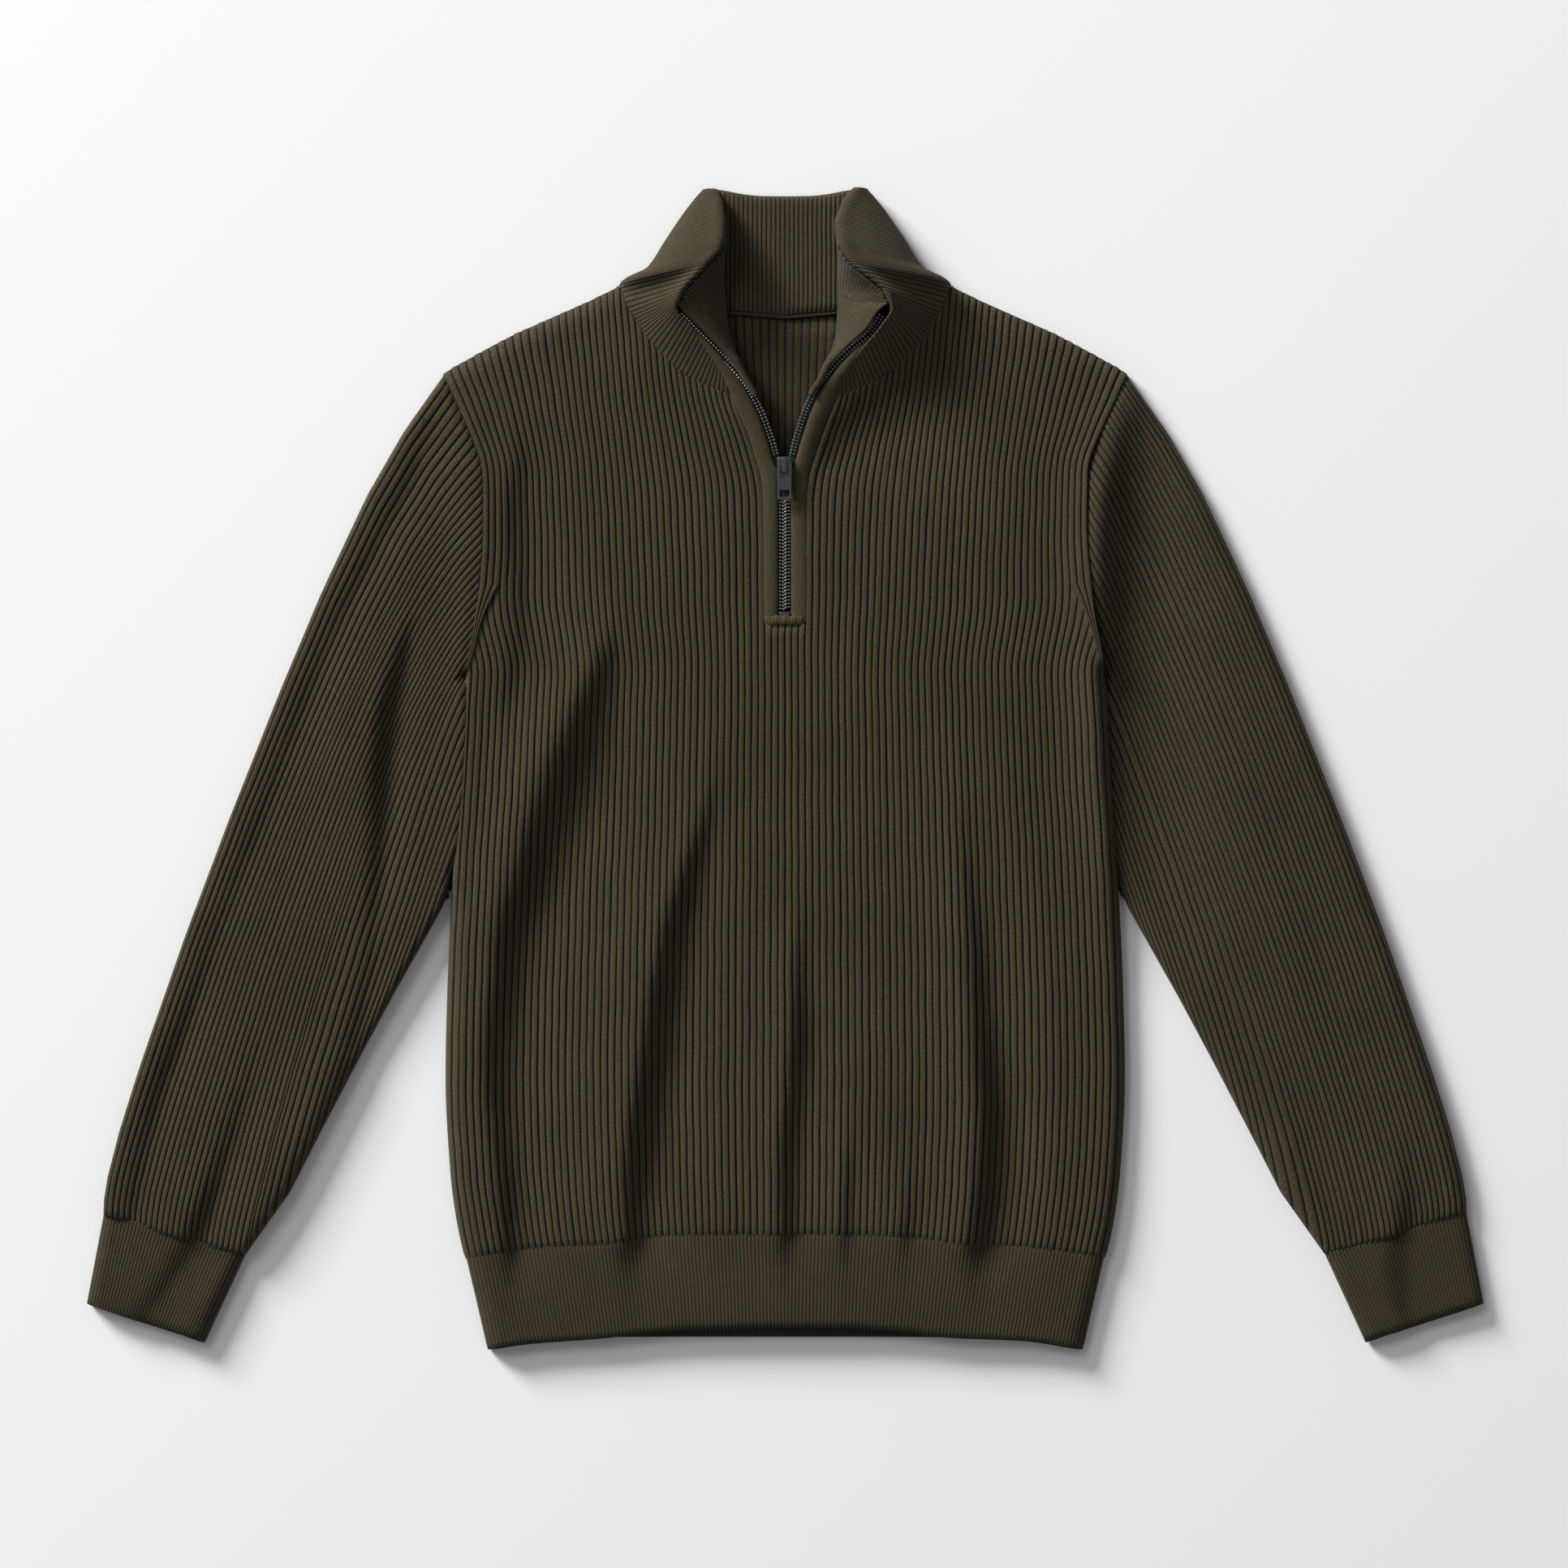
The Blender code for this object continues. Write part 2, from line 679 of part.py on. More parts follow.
# ---------------------------------------------------------------- hem
def hem_plan(lines):
    """Plan of the front hem band for rib lines counted from the left."""
    share = lines / HEM_RIBS
    top_x = -204.6 + 409.2 * share
    foot_x = -191.0 + 382.0 * share
    top = hem_seam_y(top_x) - SEAM_GAP
    foot = smooth(HEM_FOOT["x"], HEM_FOOT["y_front"], foot_x)
    return blend(top_x, foot_x, [0, 1]), blend(top, foot, [0, 1])


def hem_height(x, y, depth=0.0):
    """The band arches up a little in the middle of its foot, where its mouth gapes."""
    distance = distance_to(BODY_EDGES, x, y) - depth
    gape = 2.2 * np.exp(-((x / 90) ** 2)) * smoothstep((-305 - y) / 50)
    return FRONT_RIM + (HEM_CROWN - depth + gape) * roll(distance, ROLL_RADIUS - depth)


def build_hem(material):
    lines = np.linspace(0, HEM_RIBS, 2 * HEM_RIBS + 1)
    x, y = hem_plan(lines)
    outer = ribbed(x, y, hem_height, np.broadcast_to(rib_wave(lines), x.shape), FINE_RIB_RISE)
    half = np.concatenate([[0, 1, 3, 6], np.linspace(10, HEM_RIBS / 2, 12)])
    x, y = body_inset(*hem_plan(np.unique(np.concatenate([half, HEM_RIBS - half]))))
    make_wall("hem_front", [outer], [with_height(x, y, hem_height(x, y, WALL))], material)

    seam_x = np.linspace(-204.4, 204.4, 17)
    foot_x = np.linspace(191.0, -191.0, 17)
    seam = np.stack([seam_x, hem_seam_y(seam_x) - SEAM_GAP], axis=-1)
    foot = np.stack([foot_x, smooth(HEM_FOOT["x"], HEM_FOOT["y_back"], foot_x)], axis=-1)
    make_slab("hem_back", np.concatenate([foot, seam]), 0, BACK_TOP, material)


# ---------------------------------------------------------------- sleeves and cuffs
def bezier(start, leave, arrive, end, rows):
    """Curves from start to end through two handles, one row of points for each fraction."""
    t = np.asarray(rows)[:, None, None]
    return (
        start * (1 - t) ** 3
        + 3 * leave * t * (1 - t) ** 2
        + 3 * arrive * t**2 * (1 - t)
        + end * t**3
    )


def sleeve_start():
    """Where a right sleeve's ribs start: up the armhole, then beside the body."""
    armhole = armhole_path() + (SLEEVE_GAP, 0)
    beside_y = np.array([UNDERARM_Y - 4, 20, -20, -62])
    beside = np.stack([side_x(beside_y) + 1.8, beside_y], axis=-1)
    return armhole, beside


def sleeve_outer():
    """A right sleeve's outer edge from the shoulder point to the cuff."""
    armhole, _ = sleeve_start()
    return np.concatenate([armhole[:1], path_of(SLEEVE_OUTER), path_of(CUFF_SEAM)[:1]])


def sleeve_plan(lines, rows):
    """Plan of a right sleeve's upper face: one column for each rib line."""
    armhole, beside = sleeve_start()
    up = lines <= SLEEVE_ARMHOLE_RIBS
    share = np.clip(lines / SLEEVE_ARMHOLE_RIBS, 0, 1)
    later = (lines - SLEEVE_ARMHOLE_RIBS) / (SLEEVE_RIBS - SLEEVE_ARMHOLE_RIBS)
    start = np.where(up[:, None], along_path(armhole, share), along_path(beside, np.clip(later, 0, 1)))

    to_cuff = lines <= SLEEVE_CUFF_RIBS
    share = np.clip(lines / SLEEVE_CUFF_RIBS, 0, 1)
    later = (lines - SLEEVE_CUFF_RIBS) / (SLEEVE_RIBS - SLEEVE_CUFF_RIBS)
    cuff = along_path(path_of(CUFF_SEAM), share)
    inner = along_path(path_of(SLEEVE_INNER)[::-1], np.clip(later, 0, 1))
    end = np.where(to_cuff[:, None], cuff, inner)

    chord = np.linalg.norm(end - start, axis=1, keepdims=True)
    turn = smoothstep(lines / SLEEVE_ARMHOLE_RIBS)[:, None]
    leaving = np.array([0.50, -0.87]) * (1 - turn) + np.array([0.60, -0.80]) * turn
    leave = start + leaving * chord * 0.2
    arrive = end - np.array([0.22, -0.97]) * chord * 0.4
    ribs = bezier(start, leave, arrive, end, rows)

    # The first rib follows the sleeve's outer edge and the next ones lean towards it
    outer = along_path(sleeve_outer(), rows)
    pull = np.clip(1 - lines / SLEEVE_RIBS, 0, 1)[None, :, None] ** 1.5
    ribs = ribs + (outer[:, None] - ribs[:, :1]) * pull
    return ribs[..., 0], ribs[..., 1]


def sleeve_edges():
    """The folds of a right sleeve: its outer edge and its inner edge from the underarm."""
    outer = sleeve_outer()
    _, beside = sleeve_start()
    under = np.array([[side_x(UNDERARM_Y) + 0.5, UNDERARM_Y]])
    inner = np.concatenate([under, beside, path_of(SLEEVE_INNER)])
    return outer, inner


def clear_of_body(x, y):
    """Keep a right sleeve's points outside the armhole's seam."""
    seam = armhole_path()[::-1]
    least = np.interp(y, seam[:, 1], seam[:, 0]) + SLEEVE_GAP
    beside_seam = (y > UNDERARM_Y) & (y < seam[-1, 1])
    return np.where(beside_seam, np.maximum(x, least), x), y


def tube_height(edges, crown, folds, depth, x, y):
    distance = distance_to(edges, x, y) - depth
    rim = TUBE_EDGE if depth == 0 else WALL + SEAM_GAP
    full = crown - depth + fold_height(folds, x, y)
    return rim + (full - rim) * roll(distance, ROLL_RADIUS - depth)


def tube_inset(points, edges, amount):
    """Draw a tube's points in from its folds, clear of the body beside it."""
    x, y = points
    last = len(x) - 1
    row = np.clip(np.arange(last + 1), min(2, last), max(last - 2, 0))
    middle = (x.mean(axis=1)[row][:, None], y.mean(axis=1)[row][:, None])
    return clear_of_body(*inset(x, y, edges, middle, amount))


def make_tube(name, plan, rows, lines, folds_at, edges, height, rise, mirror, material):
    """A flattened tube, ribbed above and plain below and inside, open at its start and end.

    The plan gives x and y for some rib lines. The lines up to the first of folds_at begin on the
    open start and the others on a fold. Those up to the second finish on the open end.
    """
    fine, coarse = lines
    x, y = plan(fine, rows)
    wave = np.broadcast_to(rib_wave(fine), x.shape)
    face = ribbed(x, y, height(0.0), wave, rise)
    x_in, y_in = tube_inset(plan(coarse, rows), edges, WALL)
    plain = with_height(x_in, y_in, height(WALL)(x_in, y_in))
    floor = with_height(x_in, y_in, np.full_like(x_in, BACK_TOP))
    x_low, y_low = tube_inset(plan(coarse, rows), edges, UNDERSIDE_INSET)
    under = with_height(x_low, y_low, np.zeros_like(x_low))

    bm = bmesh.new()
    shells = [add_grid(bm, points * (mirror, 1, 1)) for points in (face, under, plain, floor)]
    counts = (fine, coarse, coarse, coarse)
    first, final = [[int(np.searchsorted(c, at)) for c in counts] for at in folds_at]
    fold = [
        list(s[0, a:]) + list(s[1:, -1]) + list(s[-1, b:-1])[::-1]
        for s, a, b in zip(shells, first, final)
    ]
    for upper, lower in ((0, 1), (2, 3)):
        zip_strip(bm, shells[upper][:, 0], shells[lower][:, 0])
        zip_strip(bm, fold[upper], fold[lower])
    for end, stop in ((0, first), (-1, final)):
        rings = []
        for upper, lower in ((0, 1), (2, 3)):
            ring = list(shells[upper][end, : stop[upper] + 1])
            rings.append(ring + list(shells[lower][end, : stop[lower] + 1])[::-1])
        zip_strip(bm, rings[0], rings[1], closed=True)
    return make_object(name, bm, material)


def build_sleeve(name, mirror, folds, material):
    edges = sleeve_edges()
    folds = {key: column * (mirror if key.startswith("x") else 1) for key, column in folds.items()}

    def height(depth):
        return lambda x, y: tube_height(edges, SLEEVE_CROWN, folds, depth, x, y)

    fine = np.linspace(0, SLEEVE_RIBS, 2 * SLEEVE_RIBS + 1)
    corners = path_lengths(armhole_path())
    at_corners = SLEEVE_ARMHOLE_RIBS * corners / corners[-1]
    coarse = np.unique(np.concatenate([at_corners, [SLEEVE_CUFF_RIBS, 38, 43, SLEEVE_RIBS]]))
    folds_at = (SLEEVE_ARMHOLE_RIBS, SLEEVE_CUFF_RIBS)
    lines = (fine, coarse)
    make_tube(
        name, sleeve_plan, SLEEVE_ROWS, lines, folds_at, edges, height, RIB_RISE, mirror, material
    )


def cuff_plan(lines, rows):
    share = lines / CUFF_RIBS
    axis = np.array([0.24, -0.97])
    top = along_path(path_of(CUFF_SEAM), share) + axis * (SEAM_GAP + 0.1)
    foot = along_path(path_of(CUFF_FOOT), share)
    points = top + (foot - top) * np.asarray(rows)[:, None, None]
    return points[..., 0], points[..., 1]


def build_cuff(name, mirror, material):
    ends = np.stack(cuff_plan(np.array([0.0, CUFF_RIBS]), [0, 1]), axis=-1)
    edges = [ends[:, 0], ends[:, 1]]
    no_folds = {key: np.zeros(0) for key in LEFT_SLEEVE_FOLDS}

    def height(depth):
        return lambda x, y: tube_height(edges, CUFF_CROWN, no_folds, depth, x, y)

    fine = np.linspace(0, CUFF_RIBS, 2 * CUFF_RIBS + 1)
    coarse = np.array([0, 1, 3, 6, 14, 27, 35, 38, 40, CUFF_RIBS])
    folds_at = (CUFF_RIBS, CUFF_RIBS)
    lines = (fine, coarse)
    make_tube(
        name, cuff_plan, [0, 1], lines, folds_at, edges, height, FINE_RIB_RISE, mirror, material
    )


# ---------------------------------------------------------------- collar
def flap_surface(side, lines, rows, depth):
    """A collar flap's face, or the face a wall's depth inside it, row by row up its ribs."""
    column = {key: smooth(FLAP["rib"], FLAP[key], lines) for key in FLAP}
    top_x = column["top_x_left"] if side < 0 else column["top_x_right"]
    foot = np.stack([column["foot_x"], column["foot_y"]], axis=-1)
    top = np.stack([top_x, column["top_y"]], axis=-1)
    on_fold = smoothstep((lines - FLAP_SEAM_RIBS + 4) / 5)
    run = top - foot
    length = np.linalg.norm(run, axis=-1, keepdims=True)
    foot = foot + run / length * (FLAP_CLEARANCE + on_fold * depth)[:, None]
    seam_z = np.maximum(front_height(foot[:, 0], foot[:, 1]), COLLAR_RIM + WALL) - depth
    foot_z = seam_z * (1 - on_fold) + COLLAR_RIM * on_fold
    top_z = np.maximum(column["top_z"] - depth, foot_z + 0.6)
    t = np.asarray(rows)[:, None]
    rise = t * (1 - on_fold) + roll(t, 1.0) * on_fold
    z = foot_z + (top_z - foot_z) * rise
    plan = foot + (top - foot) * t[..., None]
    return with_height(side * plan[..., 0], plan[..., 1], z)


def raised_along(points, wave, rise):
    """Points pushed out along the normals of their own grid."""
    down = np.gradient(points, axis=0)
    across = np.gradient(points, axis=1)
    normals = np.cross(down, across)
    normals *= np.sign(normals[..., 2:].mean())
    normals /= np.maximum(np.linalg.norm(normals, axis=-1, keepdims=True), 1e-9)
    return points + normals * (wave * rise)[..., None]


def build_flap(name, side, material):
    lines = np.linspace(0, FLAP_RIBS, 2 * FLAP_RIBS + 1)
    face = flap_surface(side, lines, FLAP_ROWS, 0.0)
    wave = rib_wave(lines) * smoothstep((FLAP_RIBS - lines) / 6) * smoothstep(lines / 3)
    face = raised_along(face, np.broadcast_to(wave, face.shape[:2]), FINE_RIB_RISE)
    lines = np.array([0, 4, 8, 14, 20, 26, 30, 33, 37, 42, 47, 52, 57, 62, 66, FLAP_RIBS])
    plain = flap_surface(side, lines, FLAP_ROWS, WALL)
    make_wall(name, [face], [plain], material)


def build_facing(name, side, material):
    """The inner half beside the zip: a plain sheet hung from the zip and the top edge."""
    rows = np.linspace(0, 9, 19)
    column = {key: smooth(FACING["row"], FACING[key], rows) for key in FACING}
    hand = "left" if side < 0 else "right"
    edge = with_height(column["edge_x_" + hand], column["edge_y"], column["edge_z"])
    tuck = with_height(column["tuck_x_" + hand], column["tuck_y"], column["tuck_z"])
    t = np.array([0, 0.35, 0.7, 1])[:, None, None]
    bulge = 2.5 * np.sin(np.pi * t)
    plain = edge + (tuck - edge) * t + bulge * np.array([0, 0, 1])
    plain = plain * (side, 1, 1)
    face = raised_along(plain, np.ones(plain.shape[:2]), FACING_THICK)
    make_wall(name, [face], [plain], material)


def build_collar_back(material):
    """The doubled collar lying flat behind the neck, ribbed where it shows."""
    shown = 50.0
    ribs = np.linspace(-shown, shown, 2 * COLLAR_BACK_RIBS + 1)
    lines = np.concatenate([[-1, -0.85, -0.68], ribs / shown / 2, [0.68, 0.85, 1]])
    wave = rib_wave(np.linspace(0, COLLAR_BACK_RIBS, 2 * COLLAR_BACK_RIBS + 1))
    wave = np.concatenate([np.zeros(3), wave, np.zeros(3)])
    foot_x = lines * 105.0
    top_x = lines * 50.0
    foot_y = smooth(BACK_NECK["x"], BACK_NECK["y"], np.abs(foot_x)) + 2.6
    top = smooth(COLLAR_TOP["x"], COLLAR_TOP["y"], np.abs(top_x))
    side = path_of(COLLAR_SIDE)

    def surface(xs, rows, z_rows, edge):
        t = np.asarray(rows)[:, None]
        y = foot_y[xs] + (top[xs] - foot_y[xs]) * t
        half = np.interp(y, side[:, 1], side[:, 0]) - edge
        return with_height(half * lines[xs], y, np.asarray(z_rows)[:, None] + np.zeros_like(y))

    every = np.arange(len(lines))
    few = np.unique(np.concatenate([[0, 1, 2], np.arange(3, len(lines) - 3, 8), len(lines) - np.arange(1, 5)]))
    face = surface(every, [0, 0.5, 0.965, 1], [COLLAR_THICK, COLLAR_THICK, COLLAR_THICK, 3.2], 0.3)
    face[..., 2] += wave * FINE_RIB_RISE * np.array([1, 1, 1, 0.4])[:, None]
    under = surface(few, [0, 0.5, 0.99], [0, 0, 0], 1.0)
    make_wall("collar_back", [face], [under], material)


def build_neck_seam(material):
    """The linked seam of the collar's inner half, a cord across the back of the neck."""
    radius = 1.1
    curve = bpy.data.curves.new("neck_seam", "CURVE")
    curve.dimensions = "3D"
    curve.bevel_depth = radius * MM
    curve.bevel_resolution = 1
    curve.use_fill_caps = True
    xs = np.linspace(-62, 62, 15)
    spline = curve.splines.new("POLY")
    spline.points.add(len(xs) - 1)
    for point, x in zip(spline.points, xs):
        y = smooth(BACK_NECK["x"], BACK_NECK["y"], abs(x)) + 1.1 - radius
        point.co = (x * MM, y * MM, (BACK_TOP + SEAM_GAP + radius) * MM, 1)
    curve.materials.append(material)
    sweater.objects.link(bpy.data.objects.new("neck_seam", curve))


# ---------------------------------------------------------------- zip
def zip_x(side, y):
    column = "x_left" if side < 0 else "x_right"
    return ZIP_CENTRE_X + side * smooth(ZIP_LINE["y"], ZIP_LINE[column], y)


def zip_z(y):
    return smooth(ZIP_LINE["y"], ZIP_LINE["z"], y)


def strip_beside_zip(side, y, near, far, z_near, z_far, thick):
    """Top and bottom faces of a strip between two offsets from the zip's line."""
    t = np.array([0.0, 0.5, 1.0])[:, None]
    x = near + (far - near) * t
    z = z_near + (z_far - z_near) * t
    rows = np.broadcast_to(y, x.shape)
    return with_height(x, rows, z), with_height(x, rows, z - thick)


def band_edge_x(side, y):
    """Outer edge of the plain band: the front's slit below, the flap's edge above."""
    below = smooth(BAND["y"], BAND["x"], np.minimum(y, NECK_JOIN_Y))
    hand = "top_x_left" if side < 0 else "top_x_right"
    order = slice(0, 4)
    above = smooth(FLAP["top_y"][order], FLAP[hand][order], y)
    mix = smoothstep((y - NECK_JOIN_Y) / 10)
    return side * (below * (1 - mix) + above * mix)


def build_placket(name, side, material):
    y = np.array([95.6, 115, 140, 165, 185, 198, 209, 219, 228, 237, 243, 250, 257, 264, 272, 279, 285])
    near = zip_x(side, y) + side * np.interp(y, [160, 188, 198, 243, 272, 285], [5.8, 5.5, 4.6, 3.4, 1.2, 0.8])
    far = band_edge_x(side, y) - side * np.interp(y, [236, 244], [0.5, 1.3])
    far = np.where(side * (far - near) < 0.8, near + side * 0.8, far)
    height = zip_z(y) + 0.4
    top, bottom = strip_beside_zip(side, y, near, far, height, height, 1.8)
    make_wall(name, [top], [bottom], material)


def build_tape(name, side, material):
    y = np.array([96, 140, 185, 198, 209, 219, 228, 237, 243, 250, 257, 264, 272, 279, 285, 290.5])
    near = zip_x(side, y) + side * np.interp(y, [244, 262], [0.4, -0.8])
    far = near + side * np.interp(y, [200, 250, 280, 291], [7.0, 6.0, 3.0, 2.0])
    height = zip_z(y) - 2.4
    top, bottom = strip_beside_zip(side, y, near, far, height, height, 1.0)
    make_wall(name, [top], [bottom], material)


def make_box(name, low, high, material, bevel=0.0):
    low = np.array(low)
    high = np.array(high)
    bm = bmesh.new()
    made = bmesh.ops.create_cube(bm, size=1.0)
    for vert in made["verts"]:
        vert.co = (np.array(vert.co) * (high - low) + (high + low) / 2) * MM
    if bevel:
        bmesh.ops.bevel(bm, geom=bm.edges, offset=bevel * MM, segments=1, profile=0.5, affect="EDGES")
    return make_object(name, bm, material)


def add_boolean(thing, cutter, operation):
    change = thing.modifiers.new(cutter.name, "BOOLEAN")
    change.operation = operation
    change.object = cutter
    cutter.hide_render = True
    cutter.display_type = "WIRE"
    sweater.objects.unlink(cutter)
    cutters.objects.link(cutter)


SLIDER_Y = (181.5, 199.5)
SLIDER_TOP = 16.6
PULL_AXIS = (ZIP_CENTRE_X, 194.2, 18.3)


def build_zip(tape, chain, metal):
    build_tape("zip_tape_left", -1, tape)
    build_tape("zip_tape_right", 1, tape)
    x = ZIP_CENTRE_X
    make_box("zip_chain", (x - 3.2, 100.6, 10.9), (x + 3.2, 181.0, 13.4), chain, 0.4)
    make_box("zip_stop", (x - 3.4, 96.4, 10.9), (x + 3.4, 100.2, 13.9), metal, 0.4)

    slider = make_box("zip_slider", (x - 5.0, SLIDER_Y[0], 12.0), (x + 5.0, SLIDER_Y[1], SLIDER_TOP), metal, 1.2)
    bridge = make_box("bridge", (x - 1.9, 188.6, 15.6), (x + 1.9, 199.0, 21.6), metal, 0.9)
    window = make_box("window", (x - 6, 191.2, SLIDER_TOP + 0.01), (x + 6, 197.0, 20.1), metal)
    add_boolean(slider, bridge, "UNION")
    add_boolean(slider, window, "DIFFERENCE")
    for side in (-1, 1):
        throat = make_box(
            "throat_left" if side < 0 else "throat_right",
            (x + side * 5.6 - 2.6, 194.0, 11.0),
            (x + side * 5.6 + 2.6, 200.5, 15.2),
            metal,
        )
        add_boolean(slider, throat, "DIFFERENCE")

    build_pull(metal)


def build_pull(metal):
    """The flat tab, slotted round the slider's bridge, with its origin on the hinge."""
    x, y, z = PULL_AXIS
    pull = make_box("zip_pull", (x - 4.7, y - 22.6, z - 0.75), (x + 4.7, y + 1.0, z + 0.75), metal, 0.35)
    slot = make_box("pull_slot", (x - 2.5, y - 9.4, z - 2), (x + 2.5, y - 1.0, z + 2), metal)
    hole = make_box("pull_hole", (x - 3.1, y - 20.6, z - 2), (x + 3.1, y - 16.4, z + 2), metal)
    for thing in (pull, slot, hole):
        for vert in thing.data.vertices:
            vert.co -= Vector(PULL_AXIS) * MM
        thing.location = Vector(PULL_AXIS) * MM
    add_boolean(pull, slot, "DIFFERENCE")
    add_boolean(pull, hole, "DIFFERENCE")


# ---------------------------------------------------------------- the sweater
for old in list(bpy.data.objects):
    bpy.data.objects.remove(old)
sweater = bpy.data.collections.new("quarter_zip_sweater")
cutters = bpy.data.collections.new("cutters")
bpy.context.scene.collection.children.link(sweater)
bpy.context.scene.collection.children.link(cutters)

rib_knit = make_material("rib_knit", CLOTH_COLOUR, 0.9)
fine_rib = make_material("fine_rib", FINE_RIB_COLOUR, 0.9)
plain_knit = make_material("plain_knit", PLACKET_COLOUR, 0.9)
zip_tape = make_material("zip_tape", TAPE_COLOUR, 0.8)
zip_teeth = make_material("zip_teeth", CHAIN_COLOUR, 0.35, 0.9)
gunmetal = make_material("gunmetal", GUNMETAL_COLOUR, 0.35, 0.9)

build_front(rib_knit)
build_back(rib_knit)
build_hem(fine_rib)
build_sleeve("sleeve_left", -1, LEFT_SLEEVE_FOLDS, rib_knit)
build_sleeve("sleeve_right", 1, RIGHT_SLEEVE_FOLDS, rib_knit)
build_cuff("cuff_left", -1, fine_rib)
build_cuff("cuff_right", 1, fine_rib)
build_flap("collar_left", -1, fine_rib)
build_flap("collar_right", 1, fine_rib)
build_facing("collar_facing_left", -1, plain_knit)
build_facing("collar_facing_right", 1, plain_knit)
build_collar_back(fine_rib)
build_neck_seam(plain_knit)
build_placket("placket_left", -1, plain_knit)
build_placket("placket_right", 1, plain_knit)
make_box("placket_end", (ZIP_CENTRE_X - 12.2, 93.1, 10.4), (ZIP_CENTRE_X + 12.2, 95.2, 12.4), plain_knit)
build_zip(zip_tape, zip_teeth, gunmetal)
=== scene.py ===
"""The looks of a rib-knit quarter zip sweater laid flat on its back.

X runs to the right as seen from above, Y towards the collar and Z up. Shapes are worked out in
millimetres and become metres where a mesh is made.
"""

import bmesh
import bpy
import numpy as np
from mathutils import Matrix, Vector


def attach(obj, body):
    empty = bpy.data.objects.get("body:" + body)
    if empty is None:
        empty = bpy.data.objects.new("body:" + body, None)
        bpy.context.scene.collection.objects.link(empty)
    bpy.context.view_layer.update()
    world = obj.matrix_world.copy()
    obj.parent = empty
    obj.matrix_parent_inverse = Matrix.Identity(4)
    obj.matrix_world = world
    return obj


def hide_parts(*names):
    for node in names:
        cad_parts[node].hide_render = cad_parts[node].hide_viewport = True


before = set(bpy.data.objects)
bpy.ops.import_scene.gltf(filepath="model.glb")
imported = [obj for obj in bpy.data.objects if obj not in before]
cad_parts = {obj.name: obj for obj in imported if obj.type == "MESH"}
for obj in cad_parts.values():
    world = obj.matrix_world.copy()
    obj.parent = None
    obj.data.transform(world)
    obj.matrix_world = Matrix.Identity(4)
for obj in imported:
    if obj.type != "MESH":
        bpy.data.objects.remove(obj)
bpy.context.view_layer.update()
MM = 0.001

# ---------------------------------------------------------------- table, light and camera
# A pale matte table top in a white room. A large soft window stands low to the upper left, with a
# weaker one above it, so that folds and the standing collar are shaded to the lower right.
scene = bpy.context.scene
scene.view_settings.view_transform = "Standard"


def paint(name, colour, roughness, metallic=0.0):
    """A plain Principled material, to build on."""
    material = bpy.data.materials.new(name)
    material.use_nodes = True
    shader = material.node_tree.nodes["Principled BSDF"]
    shader.inputs["Base Color"].default_value = (*colour, 1.0)
    shader.inputs["Roughness"].default_value = roughness
    shader.inputs["Metallic"].default_value = metallic
    return material


def soft_light(name, size, power, place):
    """A square light that looks at the middle of the sweater."""
    light = bpy.data.lights.new(name, "AREA")
    light.size = size
    light.energy = power
    thing = bpy.data.objects.new(name, light)
    thing.location = place
    thing.rotation_euler = (Vector((0, 0, 0)) - Vector(place)).to_track_quat("-Z", "Y").to_euler()
    scene.collection.objects.link(thing)


def mesh_object(name, bm, finish):
    """An object in the scene from a bmesh, which it frees."""
    mesh = bpy.data.meshes.new(name)
    bm.to_mesh(mesh)
    bm.free()
    mesh.materials.append(finish)
    thing = bpy.data.objects.new(name, mesh)
    scene.collection.objects.link(thing)
    return thing


TABLE_GAP = 0.0003
bm = bmesh.new()
bmesh.ops.create_grid(bm, x_segments=1, y_segments=1, size=3.0)
for vert in bm.verts:
    vert.co.z = -TABLE_GAP
table_top = mesh_object("table_top", bm, paint("table_top", (0.86, 0.86, 0.865), 0.9))

soft_light("window", 3.2, 1900.0, (-6.9, 7.0, 3.9))
soft_light("high_window", 3.5, 200.0, (-5.2, 4.4, 8.1))
surround = bpy.data.worlds.new("surround")
surround.use_nodes = True
surround.node_tree.nodes["Background"].inputs["Color"].default_value = (1.0, 1.0, 1.0, 1.0)
surround.node_tree.nodes["Background"].inputs["Strength"].default_value = 0.24
scene.world = surround

camera = bpy.data.cameras.new("camera")
camera.lens = 120.0
camera.sensor_width = 36.0
camera.clip_end = 20.0
camera_object = bpy.data.objects.new("camera", camera)
camera_object.location = (-0.0008, -0.0101, 3.359)
scene.collection.objects.link(camera_object)
scene.camera = camera_object

# ---------------------------------------------------------------- front
# The front panel: a wide rib knit of wool and cotton in olive and brown, knitted to shape with
# fashioned armholes, lying over the back and rolling down to it along its sides and shoulders.
FRONT_RIM = 2.5
FRONT_CROWN = 9.6
ROLL_RADIUS = 12.0
LEFT_EDGE_RADIUS = 5.0
LEFT_EDGE_LIFT = 6.0
RIB_RISE = 1.45
RIBS_LOWER = 48
RIBS_CENTRE = 41
RIBS_UPPER = 44
RIBS_UNDER_ZIP = 3
UNDERARM_Y = 60.0
FASHION_TOP_Y = 118.0
PLACKET_FOOT_Y = 92.8
NECK_JOIN_Y = 237.4
BAND_HALF_WIDTH = 13.0
ARMHOLE_X = 195.8
RIB_STEPS = (0, 0.09, 0.24, 0.5, 0.76, 0.91)
MIDDLE_RIB = 50
HANDS = {-1: "left", 1: "right"}


def table(columns, *rows):
    """Rows of numbers as one array for each named column."""
    return dict(zip(columns.split(), np.array(rows, dtype=float).T))


def ridge(*rows):
    """A soft ridge along a path, or a trough where its height is below 0."""
    return table("x y half_width height", *rows)


